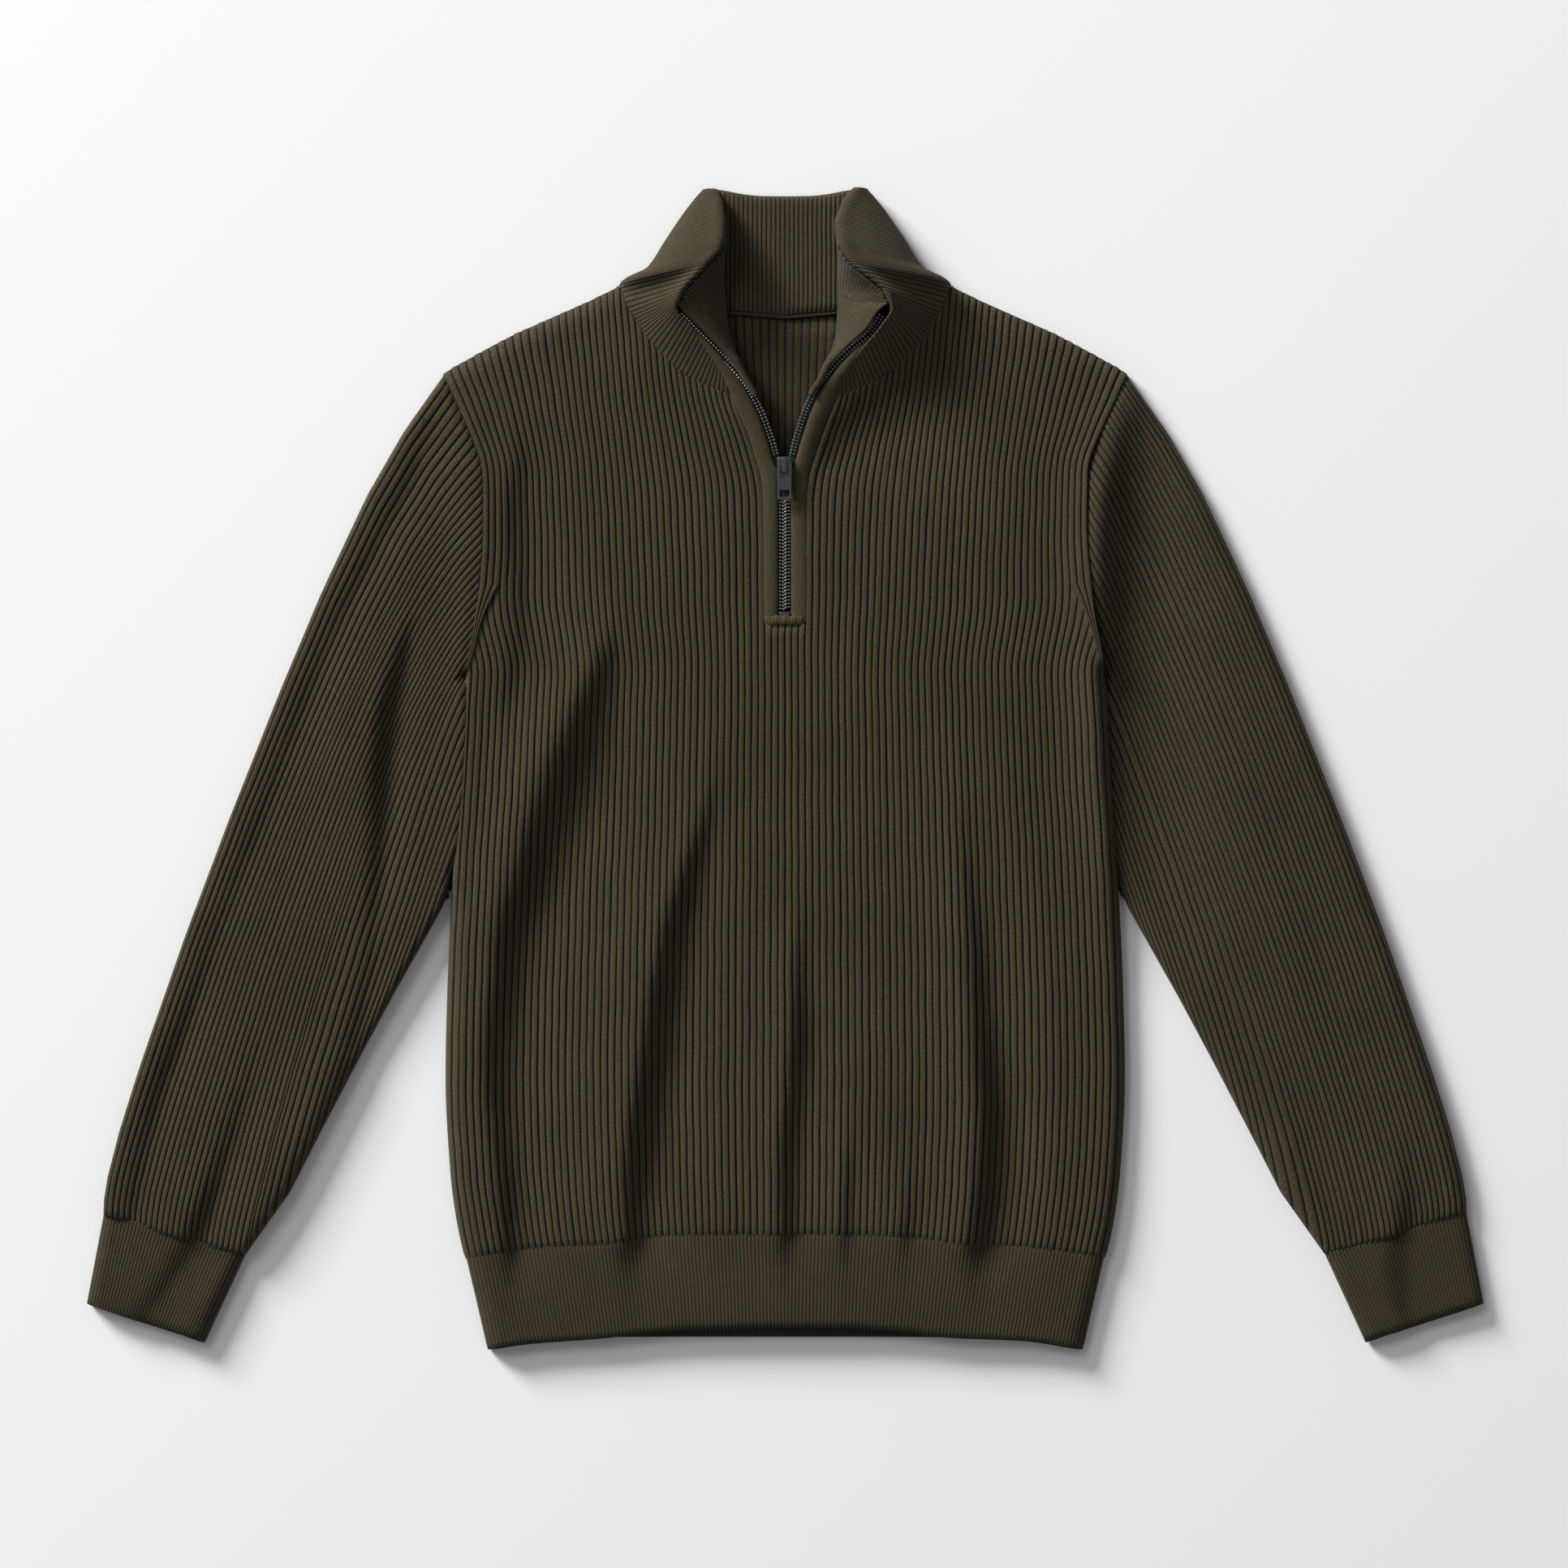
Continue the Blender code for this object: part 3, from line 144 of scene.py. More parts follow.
def fall(*rows):
    """A path from the collar end towards the hem, with the cloth dropping away to its right."""
    return table("x y half_width fall", *rows)


SIDE = table(
    "y half_width",
    (-373, 191.0), (-345, 197.5), (-315, 205.0), (-290, 210.5), (-260, 214.5), (-200, 217.6),
    (-140, 216.2), (-75, 213.2), (-10, 208.8), (UNDERARM_Y, 204.5), (90, 199.5), (118, 195.8),
    (155, 193.2), (188, 193.8), (199, 195.8), (207, 198.8), (232, 209.8), (253, 219.7),
    (275, 230.0), (310, 240.0),
)
SHOULDER = table(
    "x y",
    (219.7, 253.0), (211.4, 258.2), (192.6, 268.6), (173.0, 279.0), (149.5, 289.4),
    (126.0, 299.8), (106.9, 309.1),
)
NECKLINE = table(
    "x y",
    (32.5, 237.4), (45.5, 242.6), (57.0, 247.8), (67.5, 253.0), (76.7, 263.4), (87.1, 273.8),
    (95.9, 286.8), (102.7, 299.8), (106.9, 309.1),
)
BAND = table(
    "y x",
    (PLACKET_FOOT_Y, 13.0), (170, 13.4), (185, 15.0), (201, 19.5), (214, 23.7), (224, 27.6),
    (NECK_JOIN_Y, 32.5), (270, 39.0), (310, 43.0),
)
HEM_SEAM = table(
    "x y",
    (-205, -315.0), (-180, -310.7), (-150, -307.6), (-118, -306.0), (-92, -302.4),
    (-70, -300.4), (-35, -299.8), (17, -299.8), (58, -300.3), (90, -302.4), (110, -305.5),
    (152, -307.6), (205, -314.0),
)
# How far the ribs lean out above the chest, half way between the zip and the armhole
LEAN = table(
    "y x",
    (118, 0), (159, 2.2), (201, 4.5), (222, 5.7), (243, 6.7), (261, 7.6), (285, 8.8),
    (310, 10.0),
)
FRONT_FOLDS = [
    ridge((-34, 238, 34, 4.2), (-86, 262, 34, 4.2)),
    fall(
        (114, 290, 13, 1.6), (92, 264, 17, 5.2), (66, 246, 19, 6.4), (44, 232, 17, 6.2),
        (30, 218, 15, 5.2), (19, 200, 12, 3.4), (11, 176, 9, 0.3),
    ),
    ridge((60, 206, 30, -0.6), (92, 224, 40, -1.2), (124, 256, 34, -1.2)),
    fall(
        (-109, 88, 8, 0.3), (-117, 68, 9, 4.4), (-126, 42, 13, 7.6), (-135, 18, 16, 9.4),
        (-147, -12, 17, 10.2), (-157, -40, 15, 9.8), (-165, -66, 14, 9.2),
        (-177, -100, 13, 8.6), (-182, -140, 12, 8.0), (-187, -180, 12, 7.0),
        (-186, -220, 11, 6.4), (-180, -260, 10, 5.8), (-178, -304, 8, 4.0),
    ),
    fall(
        (-44, -4, 7, 0.3), (-51, -32, 7, 2.4), (-60, -60, 8, 5.2), (-72, -100, 10, 6.8),
        (-80, -140, 10, 7.8), (-86, -180, 10, 8.2), (-92, -220, 10, 8.6), (-98, -260, 10, 7.0),
        (-99, -304, 9, 5.2),
    ),
    ridge(
        (-84, -40, 13, 0.4), (-98, -100, 14, 1.8), (-112, -150, 14, 2.0), (-119, -200, 14, 1.8),
        (-122, -270, 13, 1.0),
    ),
    fall(
        (11, -86, 7, 0.3), (8, -130, 8, 3.2), (8, -170, 8, 5.0), (4, -210, 8, 4.8),
        (0, -250, 8, 5.0), (0, -304, 7, 3.4),
    ),
    fall(
        (111, -20, 9, 0.3), (116, -60, 9, 2.2), (121, -110, 10, 4.6), (123, -145, 10, 5.8),
        (126, -180, 10, 7.2), (129, -225, 10, 8.6), (128, -262, 10, 8.4), (122, -306, 9, 6.2),
    ),
    ridge((98, -110, 12, 0.4), (103, -190, 11, 1.0), (104, -290, 11, 1.0)),
    fall((41, -226, 5, 0.3), (40, -262, 5, 2.2), (38, -304, 5, 1.8)),
    fall((79, -262, 7, 0.3), (78, -288, 7, 2.0), (76, -306, 6, 1.6)),
    fall(
        (-172, 222, 8, 0.4), (-171, 192, 8, 2.6), (-175, 160, 10, 2.8), (-172, 128, 10, 2.8),
        (-171, 98, 10, 2.6), (-176, 56, 9, 2.2), (-182, 26, 8, 0.4),
    ),
    fall((150, 60, 14, 0.2), (156, -20, 14, 1.2), (176, -160, 14, 1.4), (176, -290, 12, 0.8)),
]
# The cloth stands up along the armhole seams
LEFT_SEAM_RIDGE = ridge(
    (-214, 246, 12, 1.0), (-204, 222, 15, 3.0), (-199, 190, 16, 4.2), (-197, 150, 16, 3.8),
    (-198, 118, 14, 2.8), (-204, 60, 12, 2.0), (-206, -20, 10, 1.2), (-212, -90, 9, 0),
)
RIGHT_SEAM_RIDGE = ridge(
    (218, 250, 9, 0.6), (201, 212, 13, 4.0), (194, 160, 15, 7.0), (196, 118, 16, 8.0),
    (201, 70, 17, 8.2), (205, 0, 17, 7.6), (210, -70, 14, 4.6), (215, -130, 10, 0),
)
FRONT_FOLDS += [LEFT_SEAM_RIDGE, RIGHT_SEAM_RIDGE]


def smooth(known_x, known_y, x):
    """Curve through the known points that never overshoots them; flat past the ends."""
    step = np.diff(known_x)
    slope = np.diff(known_y) / step
    bends = slope[:-1] * slope[1:] > 0
    both = np.where(bends, slope[:-1] + slope[1:], 1)
    inner = np.where(bends, 2 * slope[:-1] * slope[1:] / both, 0)
    tangent = np.concatenate([slope[:1], inner, slope[-1:]])
    i = np.clip(np.searchsorted(known_x, x) - 1, 0, len(step) - 1)
    t = np.clip((x - known_x[i]) / step[i], 0, 1)
    rise = known_y[i + 1] - known_y[i]
    start = tangent[i] * step[i]
    end = tangent[i + 1] * step[i]
    squared = (3 * rise - 2 * start - end) * t**2
    return known_y[i] + start * t + squared + (start + end - 2 * rise) * t**3


def smoothstep(t):
    t = np.clip(t, 0, 1)
    return t * t * (3 - 2 * t)


def path_of(rows, mirror=1):
    """A table's x and y columns as points; mirror -1 gives the left side's."""
    return np.stack([mirror * rows["x"], rows["y"]], axis=-1)


def path_lengths(path):
    """Distance along a path to each of its points."""
    return np.concatenate([[0], np.cumsum(np.linalg.norm(np.diff(path, axis=0), axis=1))])


def along_path(path, fraction):
    """Points at fractions of a path's length."""
    length = path_lengths(path)
    at = np.asarray(fraction) * length[-1]
    return np.stack([np.interp(at, length, path[:, k]) for k in (0, 1)], axis=-1)


def offsets_from(start, run, x, y):
    """Each point's offset from every run's start, its share of the run and its gap to it."""
    dx = x[..., None] - start[:, 0]
    dy = y[..., None] - start[:, 1]
    t = np.clip((dx * run[:, 0] + dy * run[:, 1]) / (run**2).sum(axis=1), 0, 1)
    return dx, dy, t, np.hypot(dx - t * run[:, 0], dy - t * run[:, 1])


def distance_to(edges, x, y):
    """Distance in plan to the nearest of several paths."""
    start = np.concatenate([path[:-1] for path in edges])
    run = np.concatenate([np.diff(path, axis=0) for path in edges])
    return offsets_from(start, run, x, y)[3].min(axis=-1)


def roll(distance, radius=ROLL_RADIUS):
    """Height of a rolled edge, from 0 at the edge to 1 at the radius, as a quarter circle."""
    t = np.clip(distance / radius, 0, 1)
    return np.sqrt(t * (2 - t))


def fold_height(folds, x, y):
    """Sum of the folds at each point."""
    height = np.zeros(np.shape(x))
    for fold in folds:
        start = path_of(fold)[:-1]
        run = np.diff(path_of(fold), axis=0)
        dx, dy, t, gap = offsets_from(start, run, x, y)
        nearest = gap.argmin(axis=-1)[..., None]
        place = nearest[..., 0] + np.take_along_axis(t, nearest, -1)[..., 0]
        steps = np.arange(len(start) + 1)
        width = np.interp(place, steps, fold["half_width"])
        reach = gap.min(axis=-1) / width
        if "height" in fold:
            height += np.interp(place, steps, fold["height"]) * np.exp(-(reach**2))
            continue
        to_right = (dy * run[:, 0] - dx * run[:, 1]) / np.hypot(run[:, 0], run[:, 1])
        to_right = np.take_along_axis(to_right, nearest, -1)[..., 0] / width
        spread = np.where(to_right > 0, 3.6, 2.0)
        drop = np.tanh(1.3 * to_right) * np.exp(-((reach / spread) ** 2))
        height -= np.interp(place, steps, fold["fall"]) * drop
    return height


def upward_normals(height, x, y, step=0.4):
    """Unit normals of a height field, from its slope over a small step."""
    slope_x = (height(x + step, y) - height(x - step, y)) / (2 * step)
    slope_y = (height(x, y + step) - height(x, y - step)) / (2 * step)
    normals = np.stack([-slope_x, -slope_y, np.ones_like(slope_x)], axis=-1)
    return normals / np.linalg.norm(normals, axis=-1, keepdims=True)


def rib_lines(first, last, steps=RIB_STEPS):
    """Lines over whole ribs, closest together at the grooves."""
    return np.append((np.arange(first, last)[:, None] + steps).ravel(), last)


def rib_wave(lines):
    """1 on the flat back of each rib and 0 in the narrow groove between ribs."""
    return 1 - np.abs(2 * (np.asarray(lines) % 1) - 1) ** 5.5


def wander(x, y):
    """Small sideways drift of the ribs, as in cloth that was smoothed down by hand."""
    drift = 0.09 * np.sin(y / 16 + x / 37) + 0.09 * np.sin(y / 8.3 - x / 21 + 2)
    drift += 0.08 * np.sin(y / 4.9 + x / 9)
    return drift * smoothstep(distance_to(BODY_EDGES, x, y) / 8)


def with_height(x, y, z):
    return np.stack([x, y, z], axis=-1)


def ribbed(x, y, height, wave, rise):
    """Points of a height field with its ribs raised along the normals."""
    base = with_height(x, y, height(x, y))
    return base + upward_normals(height, x, y) * (wave * rise)[..., None]


def blend(start, end, fractions):
    """Rows from start to end, one for each fraction."""
    return start + (end - start) * np.asarray(fractions)[:, None]


def make_cloth(name, grids, finish, thick):
    """A sheet of knit so many mm thick from grids of points, with UVs in ribs and millimetres."""
    bm = bmesh.new()
    places = []
    knit = []
    for points, rib, course, faces_up in grids:
        across = points[:-1, 1:] - points[:-1, :-1]
        along = points[1:, :-1] - points[:-1, :-1]
        facing = np.cross(across, along)[..., 2].sum()
        step = 1 if facing * faces_up > 0 else -1
        rows, columns = points.shape[:2]
        bmesh.ops.create_grid(bm, x_segments=columns - 1, y_segments=rows - 1, size=1)
        places.append(points[:, ::step].reshape(-1, 3))
        pair = [np.broadcast_to(part, (rows, columns)) for part in (rib, course)]
        knit.append(np.stack(pair, axis=-1)[:, ::step].reshape(-1, 2))
    thing = mesh_object(name, bm, finish)
    mesh = thing.data
    mesh.vertices.foreach_set("co", (np.concatenate(places) * MM).astype(np.float32).ravel())
    corners = np.empty(len(mesh.loops), dtype=np.int32)
    mesh.loops.foreach_get("vertex_index", corners)
    layer = mesh.uv_layers.new(name="knit")
    layer.data.foreach_set("uv", np.concatenate(knit)[corners].astype(np.float32).ravel())
    mesh.shade_smooth()
    mesh.update()
    if len(grids) > 1:
        weld = thing.modifiers.new("weld", "WELD")
        weld.merge_threshold = 0.00001
    if thick:
        wall = thing.modifiers.new("wall", "SOLIDIFY")
        wall.thickness = thick * MM
        wall.offset = -1.0
    return thing


def add_node(tree, kind, *inputs, **settings):
    """A shader node with its settings, and the inputs it then shows linked or set in order."""
    made = tree.nodes.new(kind)
    for key, value in settings.items():
        setattr(made, key, value)
    for socket, value in zip([s for s in made.inputs if s.enabled], inputs):
        if isinstance(value, bpy.types.NodeSocket):
            tree.links.new(value, socket)
        else:
            socket.default_value = value
    return next(s for s in made.outputs if s.enabled)


def knit_finish(name, dark, middle, light, pitch, painted_groove_shade, depth=0.7, streaks=1.0):
    """Melange rib knit: granular flecked yarn, ribs of slightly different tone and painted shade in
    the grooves.

    It reads the knit UVs: U counts ribs a pitch apart, with a groove at each whole number, and V is
    along them in millimetres.
    """
    material = paint(name, middle, 0.92)
    tree = material.node_tree
    shader = tree.nodes["Principled BSDF"]
    shader.inputs["Sheen Weight"].default_value = 0.04
    shader.inputs["Sheen Roughness"].default_value = 0.6
    shader.inputs["Specular IOR Level"].default_value = 0.12
    knit = add_node(tree, "ShaderNodeUVMap", uv_map="knit")
    rib, along = add_node(tree, "ShaderNodeSeparateXYZ", knit).node.outputs[:2]

    def maths(operation, *inputs, clamp=False):
        return add_node(tree, "ShaderNodeMath", *inputs, operation=operation, use_clamp=clamp)

    def mix(factor, one, other, how="MIX"):
        return add_node(
            tree, "ShaderNodeMix", factor, one, other, data_type="RGBA", blend_type=how
        )

    def noise(wide, long, detail, roughness):
        """Noise in patches so many millimetres wide and long."""
        across = maths("MULTIPLY", rib, pitch / wide)
        place = add_node(tree, "ShaderNodeCombineXYZ", across, maths("DIVIDE", along, long))
        return add_node(
            tree, "ShaderNodeTexNoise", place, 1.0, detail, roughness, noise_dimensions="2D"
        )

    def rib_tone(rounding):
        """A tone of its own for each rib or each groove."""
        return add_node(
            tree, "ShaderNodeTexWhiteNoise", maths(rounding, rib), noise_dimensions="1D"
        )

    # Grains of yarn about a millimetre across, and finer fibres in them
    coarse = noise(0.85, 0.935, 1.0, 0.65)
    fine = noise(0.4, 0.44, 2.0, 0.65)
    fleck = maths("MULTIPLY_ADD", fine, 0.45, maths("MULTIPLY", coarse, 0.55))
    yarn = add_node(tree, "ShaderNodeValToRGB", fleck)
    ramp = yarn.node.color_ramp
    ramp.elements[0].position = 0.34
    ramp.elements[0].color = (*dark, 1)
    ramp.elements[1].position = 0.66
    ramp.elements[1].color = (*light, 1)
    ramp.elements.new(0.5).color = (*middle, 1)

    # Each rib and each stretch of it is a little greener or browner, lighter or darker
    browner = maths("MULTIPLY_ADD", noise(5.0, 22.0, 2.0, 0.6), 2.6, -0.8, clamp=True)
    yarn = mix(1.0, yarn, mix(browner, (1.06, 0.99, 0.92, 1), (0.96, 1.01, 0.97, 1)), "MULTIPLY")
    coordinates = tree.nodes.new("ShaderNodeTexCoord").outputs["Object"]
    cloud = add_node(tree, "ShaderNodeTexNoise", coordinates, 16.0, 3.0, 0.55)
    level = maths("MULTIPLY_ADD", rib_tone("FLOOR"), 0.16 * streaks, 1 - 0.08 * streaks)
    for source, share, rest in ((cloud, 0.5, 0.75), (noise(11.0, 1.1, 2.0, 0.6), 0.44, 0.78)):
        level = maths("MULTIPLY", level, maths("MULTIPLY_ADD", source, share, rest))
    yarn = mix(1.0, yarn, add_node(tree, "ShaderNodeCombineXYZ", level, level, level), "MULTIPLY")

    # Painted shade: each groove is darkened to a narrow dark line, a little ragged with loose
    # fibres
    off_centre = maths("ABSOLUTE", maths("SUBTRACT", maths("FRACT", rib), 0.5))
    ragged = maths("MULTIPLY_ADD", off_centre, 2.0, maths("MULTIPLY_ADD", coarse, 0.5, -0.25))
    own = maths("MULTIPLY_ADD", rib_tone("ROUND"), 0.12 * streaks, -0.08 * streaks)
    edge = add_node(
        tree, "ShaderNodeMapRange", maths("ADD", ragged, own), 0.62, 0.88,
        interpolation_type="SMOOTHSTEP",
    )
    # Painted shade: in the groove the colour falls to a small share of the middle tone
    colour = mix(edge, yarn, (*[part * painted_groove_shade for part in middle], 1))
    tree.links.new(colour, shader.inputs["Base Color"])

    bump = tree.nodes.new("ShaderNodeBump")
    bump.inputs["Strength"].default_value = depth
    bump.inputs["Distance"].default_value = 0.0008
    tree.links.new(fleck, bump.inputs["Height"])
    tree.links.new(bump.outputs[0], shader.inputs["Normal"])
    return material


def side_x(y):
    return smooth(SIDE["y"], SIDE["half_width"], y)


def hem_seam_y(x):
    return smooth(HEM_SEAM["x"], HEM_SEAM["y"], x)


def top_y(x, neck=NECKLINE):
    """Where a neckline and the shoulder line lie at a distance from the middle."""
    shoulder = np.interp(x, SHOULDER["x"][::-1], SHOULDER["y"][::-1])
    return np.where(x < NECKLINE["x"][-1], np.interp(x, neck["x"], neck["y"]), shoulder)


def body_edges():
    """The rolled edges of the front: its sides up to the underarm and its shoulders."""
    low = np.linspace(SIDE["y"][0], UNDERARM_Y, 60)
    side = np.stack([side_x(low), low], axis=-1)
    edges = []
    for mirror in (-1, 1):
        edges.append(side * (mirror, 1))
        edges.append(path_of(SHOULDER, mirror))
    return edges


BODY_EDGES = body_edges()


def front_height(x, y):
    """Height of the front's face before its ribs are raised. Its left edge lies on the sleeve."""
    crown = FRONT_CROWN + fold_height(FRONT_FOLDS, x, y)
    by_sleeve = np.where(x < 0, smoothstep((y + 95) / 30), 0)
    tighter = (ROLL_RADIUS - LEFT_EDGE_RADIUS) * by_sleeve * smoothstep((150 - y) / 60)
    radius = ROLL_RADIUS - tighter
    lift = LEFT_EDGE_LIFT * by_sleeve * smoothstep((85 - y) / 25)
    return FRONT_RIM + lift + (crown - lift) * roll(distance_to(BODY_EDGES, x, y), radius)


def rib_x(line, y):
    """Distance of a rib line from the middle: even below the underarm, fanned above it."""
    low = side_x(np.minimum(y, UNDERARM_Y)) * line / RIBS_LOWER
    band = smooth(BAND["y"], BAND["x"], y)
    span = (line - RIBS_UNDER_ZIP) / (RIBS_UPPER - RIBS_UNDER_ZIP)
    high = BAND_HALF_WIDTH + (ARMHOLE_X - BAND_HALF_WIDTH) * span
    high = high + np.clip(1 - span, 0, 1) ** 3 * (band - BAND_HALF_WIDTH)
    high = high + np.clip(span, 0, 1) ** 4 * (side_x(y) - ARMHOLE_X)
    high = high + 4 * span * (1 - span) * smooth(LEAN["y"], LEAN["x"], y)
    high = np.where(line < RIBS_UNDER_ZIP, band * line / RIBS_UNDER_ZIP, high)
    return low + (high - low) * smoothstep((y - UNDERARM_Y) / (FASHION_TOP_Y - UNDERARM_Y))


def column_top(lines, line_x=rib_x, neck=NECKLINE):
    """Where each rib line meets the neckline or the shoulder."""
    y = np.full(np.shape(lines), 250.0)
    for _ in range(30):
        y = 0.5 * y + 0.5 * top_y(line_x(lines, y), neck)
    return y


def column_foot(side, lines):
    """Where each rib line meets the hem seam."""
    y = np.full(np.shape(lines), HEM_SEAM["y"][0])
    for _ in range(6):
        y = hem_seam_y(side * rib_x(lines, y))
    return y


def panel_rows():
    """Rows of the front as fractions: below the placket's foot, and above it up to the shoulder."""
    last_top = column_top(np.array([float(RIBS_CENTRE)]))[0]
    fashioned = (FASHION_TOP_Y - PLACKET_FOOT_Y) / (last_top - PLACKET_FOOT_Y)
    closing = 1 - (1 - np.linspace(0, 1, 25)[1:]) ** 1.5
    above = np.concatenate([np.linspace(0, fashioned, 4), fashioned + (1 - fashioned) * closing])
    return np.concatenate([[0, 0.003, 0.007], np.linspace(0.012, 1, 46)]), above


def front_plan(side):
    """One half of the front as grids of x, y and rib line, knitted to shape at the armhole."""
    centre = rib_lines(0, RIBS_CENTRE)
    beside = rib_lines(RIBS_UNDER_ZIP, RIBS_CENTRE)
    fashioned = rib_lines(RIBS_CENTRE, RIBS_LOWER)
    armhole = rib_lines(RIBS_CENTRE, RIBS_UPPER)
    last = np.array([float(RIBS_CENTRE)])
    below, above = panel_rows()

    lower_y = blend(column_foot(side, centre), np.full(len(centre), PLACKET_FOOT_Y), below)
    lower = (rib_x(centre, lower_y), lower_y, centre)
    upper_y = blend(np.full(len(beside), PLACKET_FOOT_Y), column_top(beside), above)
    upper = (rib_x(beside, upper_y), upper_y, beside)

    last_foot = column_foot(side, last)[0]
    last_rows = np.concatenate([lower_y[:, -1], upper_y[1:4, -1]])
    fractions = (last_rows - last_foot) / (FASHION_TOP_Y - last_foot)
    slant = (fashioned - RIBS_CENTRE) / (RIBS_LOWER - RIBS_CENTRE)
    slant_y = FASHION_TOP_Y + (UNDERARM_Y - FASHION_TOP_Y) * slant
    side_y = blend(column_foot(side, fashioned), slant_y, fractions)
    side_part = (rib_x(fashioned, side_y), side_y, fashioned)

    # The ribs beside the armhole narrow to nothing between the slant and the underarm
    share = (armhole - RIBS_CENTRE) / (RIBS_UPPER - RIBS_CENTRE)
    slant_x = side_part[0][-1]
    row_y = slant_y[::-1, None] * np.ones(len(armhole))
    row_x = slant_x[::-1, None] + (side_x(row_y) - slant_x[::-1, None]) * share
    above_y = blend(np.full(len(armhole), PLACKET_FOOT_Y), column_top(armhole), above)[4:]
    gusset_y = np.concatenate([row_y, above_y])
    gusset_x = np.concatenate([row_x, rib_x(armhole, above_y)])
    gusset = (gusset_x, gusset_y, armhole)
    return {"lower": lower, "upper": upper, "side": side_part, "gusset": gusset}


# Its grooves are darkened with painted shade to a share of the middle tone.
rib_knit = knit_finish(
    "rib_knit", dark=(0.026, 0.020, 0.010), middle=(0.050, 0.041, 0.0235),
    light=(0.086, 0.073, 0.045), pitch=4.4, painted_groove_shade=0.16,
)
grids = []
for side in HANDS:
    for part, (x, y, lines) in front_plan(side).items():
        wave = np.broadcast_to(rib_wave(lines), x.shape).copy()
        if part == "side":
            wave[-1] = 0
        if part == "gusset":
            width = np.abs(x[:, -1:] - x[:, :1]) / (RIBS_UPPER - RIBS_CENTRE)
            wave = wave * smoothstep(width / 2.0)
        wave = wave * (0.9 + 0.1 * np.sin(2.4 * np.floor(lines) + y / 31))
        if part in ("lower", "side"):
            wave = wave * (0.4 + 0.6 * smoothstep((y - y[0]) / 5.0))
        points = ribbed(side * x + wander(side * x, y), y, front_height, wave, RIB_RISE)
        if part in ("lower", "side"):
            points[..., 2] -= 0.8 * (1 - smoothstep((y - y[0]) / 4.0))
        grids.append((points, MIDDLE_RIB + side * lines, y, 1))
front = make_cloth("front", grids, rib_knit, thick=2.0)
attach(front, "garment")
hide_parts("body_front")

# ---------------------------------------------------------------- back
# The back panel: the same rib knit, lying flat on the table. Its inner side shows through the
# open neck and its outer side is underneath.
BACK_TOP = 1.7
BACK_NECK = table("x y", (0, 289.5), (38, 293.0), (70, 299.0), (95, 306.0), (106.9, 309.1))


def back_rib_x(line, y):
    """Distance of a back rib line from the middle, drawn in with the armholes above."""
    narrow = RIBS_LOWER + (RIBS_UPPER - RIBS_LOWER) * smoothstep((y - UNDERARM_Y) / 58)
    return side_x(y) * line / narrow


def back_points(side, x, y, lines):
    """Points of the back's face for one grid, with the ribs low from lying on the table."""
    z = BACK_TOP + 0.5 * rib_wave(lines) + 0 * x
    return with_height(side * x, y, z), MIDDLE_RIB + side * lines, y, 1


lines = np.arange(0, RIBS_UPPER + 0.1, 0.25)
outer_lines = np.arange(RIBS_UPPER, RIBS_LOWER + 0.1, 0.25)
back_edge = {"x": BACK_NECK["x"], "y": BACK_NECK["y"] - 0.3}
back_rows = np.concatenate([np.linspace(0, 0.7, 12), np.linspace(0.7, 1, 12)[1:]])
grids = []
for side in HANDS:
    foot = column_foot(side, lines) + 0.3
    y = blend(foot, column_top(lines, back_rib_x, back_edge), back_rows)
    grids.append(back_points(side, back_rib_x(lines, y), y, lines))
    foot = column_foot(side, outer_lines) + 0.3
    y = blend(foot, UNDERARM_Y - 1 + 0 * foot, np.linspace(0, 1, 14))
    grids.append(back_points(side, side_x(y) * outer_lines / RIBS_LOWER, y, outer_lines))
back = make_cloth("back", grids, rib_knit, thick=1.6)
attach(back, "garment")
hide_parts("body_back")

# ---------------------------------------------------------------- hem band
# The hem: a deep band of fine rib linked to the foot of the body, drawing it in. Its front edge
# lifts a little in the middle and shows the inside of the back's band.
HEM_RIBS = 170
HEM_CROWN = 9.3
HEM_TOP_HALF_WIDTH = 204.6
HEM_FOOT_HALF_WIDTH = 191.0
SEAM_TUCK = 1.2
FINE_RIB_RISE = 0.42
FINE_RIB_STEPS = (0, 0.13, 0.36, 0.64, 0.87)
HEM_FOOT = table(
    "x y_front y_back",
    (-191, -373.0, -373.0), (-165, -369.0, -369.0), (-139, -366.9, -366.9),
    (-118, -365.3, -365.4), (-87, -361.7, -365.2), (-61, -359.6, -365.0), (0, -358.0, -365.0),
    (38, -358.2, -365.0), (79, -361.2, -365.2), (105, -364.8, -365.6), (152, -366.9, -366.9),
    (191, -373.0, -373.0),
)


def hem_plan(lines, column, rows):
    """Plan of a hem band for rib lines counted from the left."""
    across = 2 * lines / HEM_RIBS - 1
    top_x = HEM_TOP_HALF_WIDTH * across
    foot_x = HEM_FOOT_HALF_WIDTH * across
    foot = smooth(HEM_FOOT["x"], HEM_FOOT[column], foot_x)
    return blend(top_x, foot_x, rows), blend(hem_seam_y(top_x) + SEAM_TUCK, foot, rows)


def hem_height(x, y):
    """The band carries the front's folds on a little and arches up in the middle of its mouth."""
    gape = 2.2 * np.exp(-((x / 90) ** 2)) * smoothstep((-305 - y) / 50)
    seam_y = hem_seam_y(x)
    folds = fold_height(FRONT_FOLDS, x, seam_y + 0 * y) * np.exp(-(np.clip(seam_y - y, 0, 99) / 14))
    return FRONT_RIM + (HEM_CROWN + gape + folds) * roll(distance_to(BODY_EDGES, x, y))
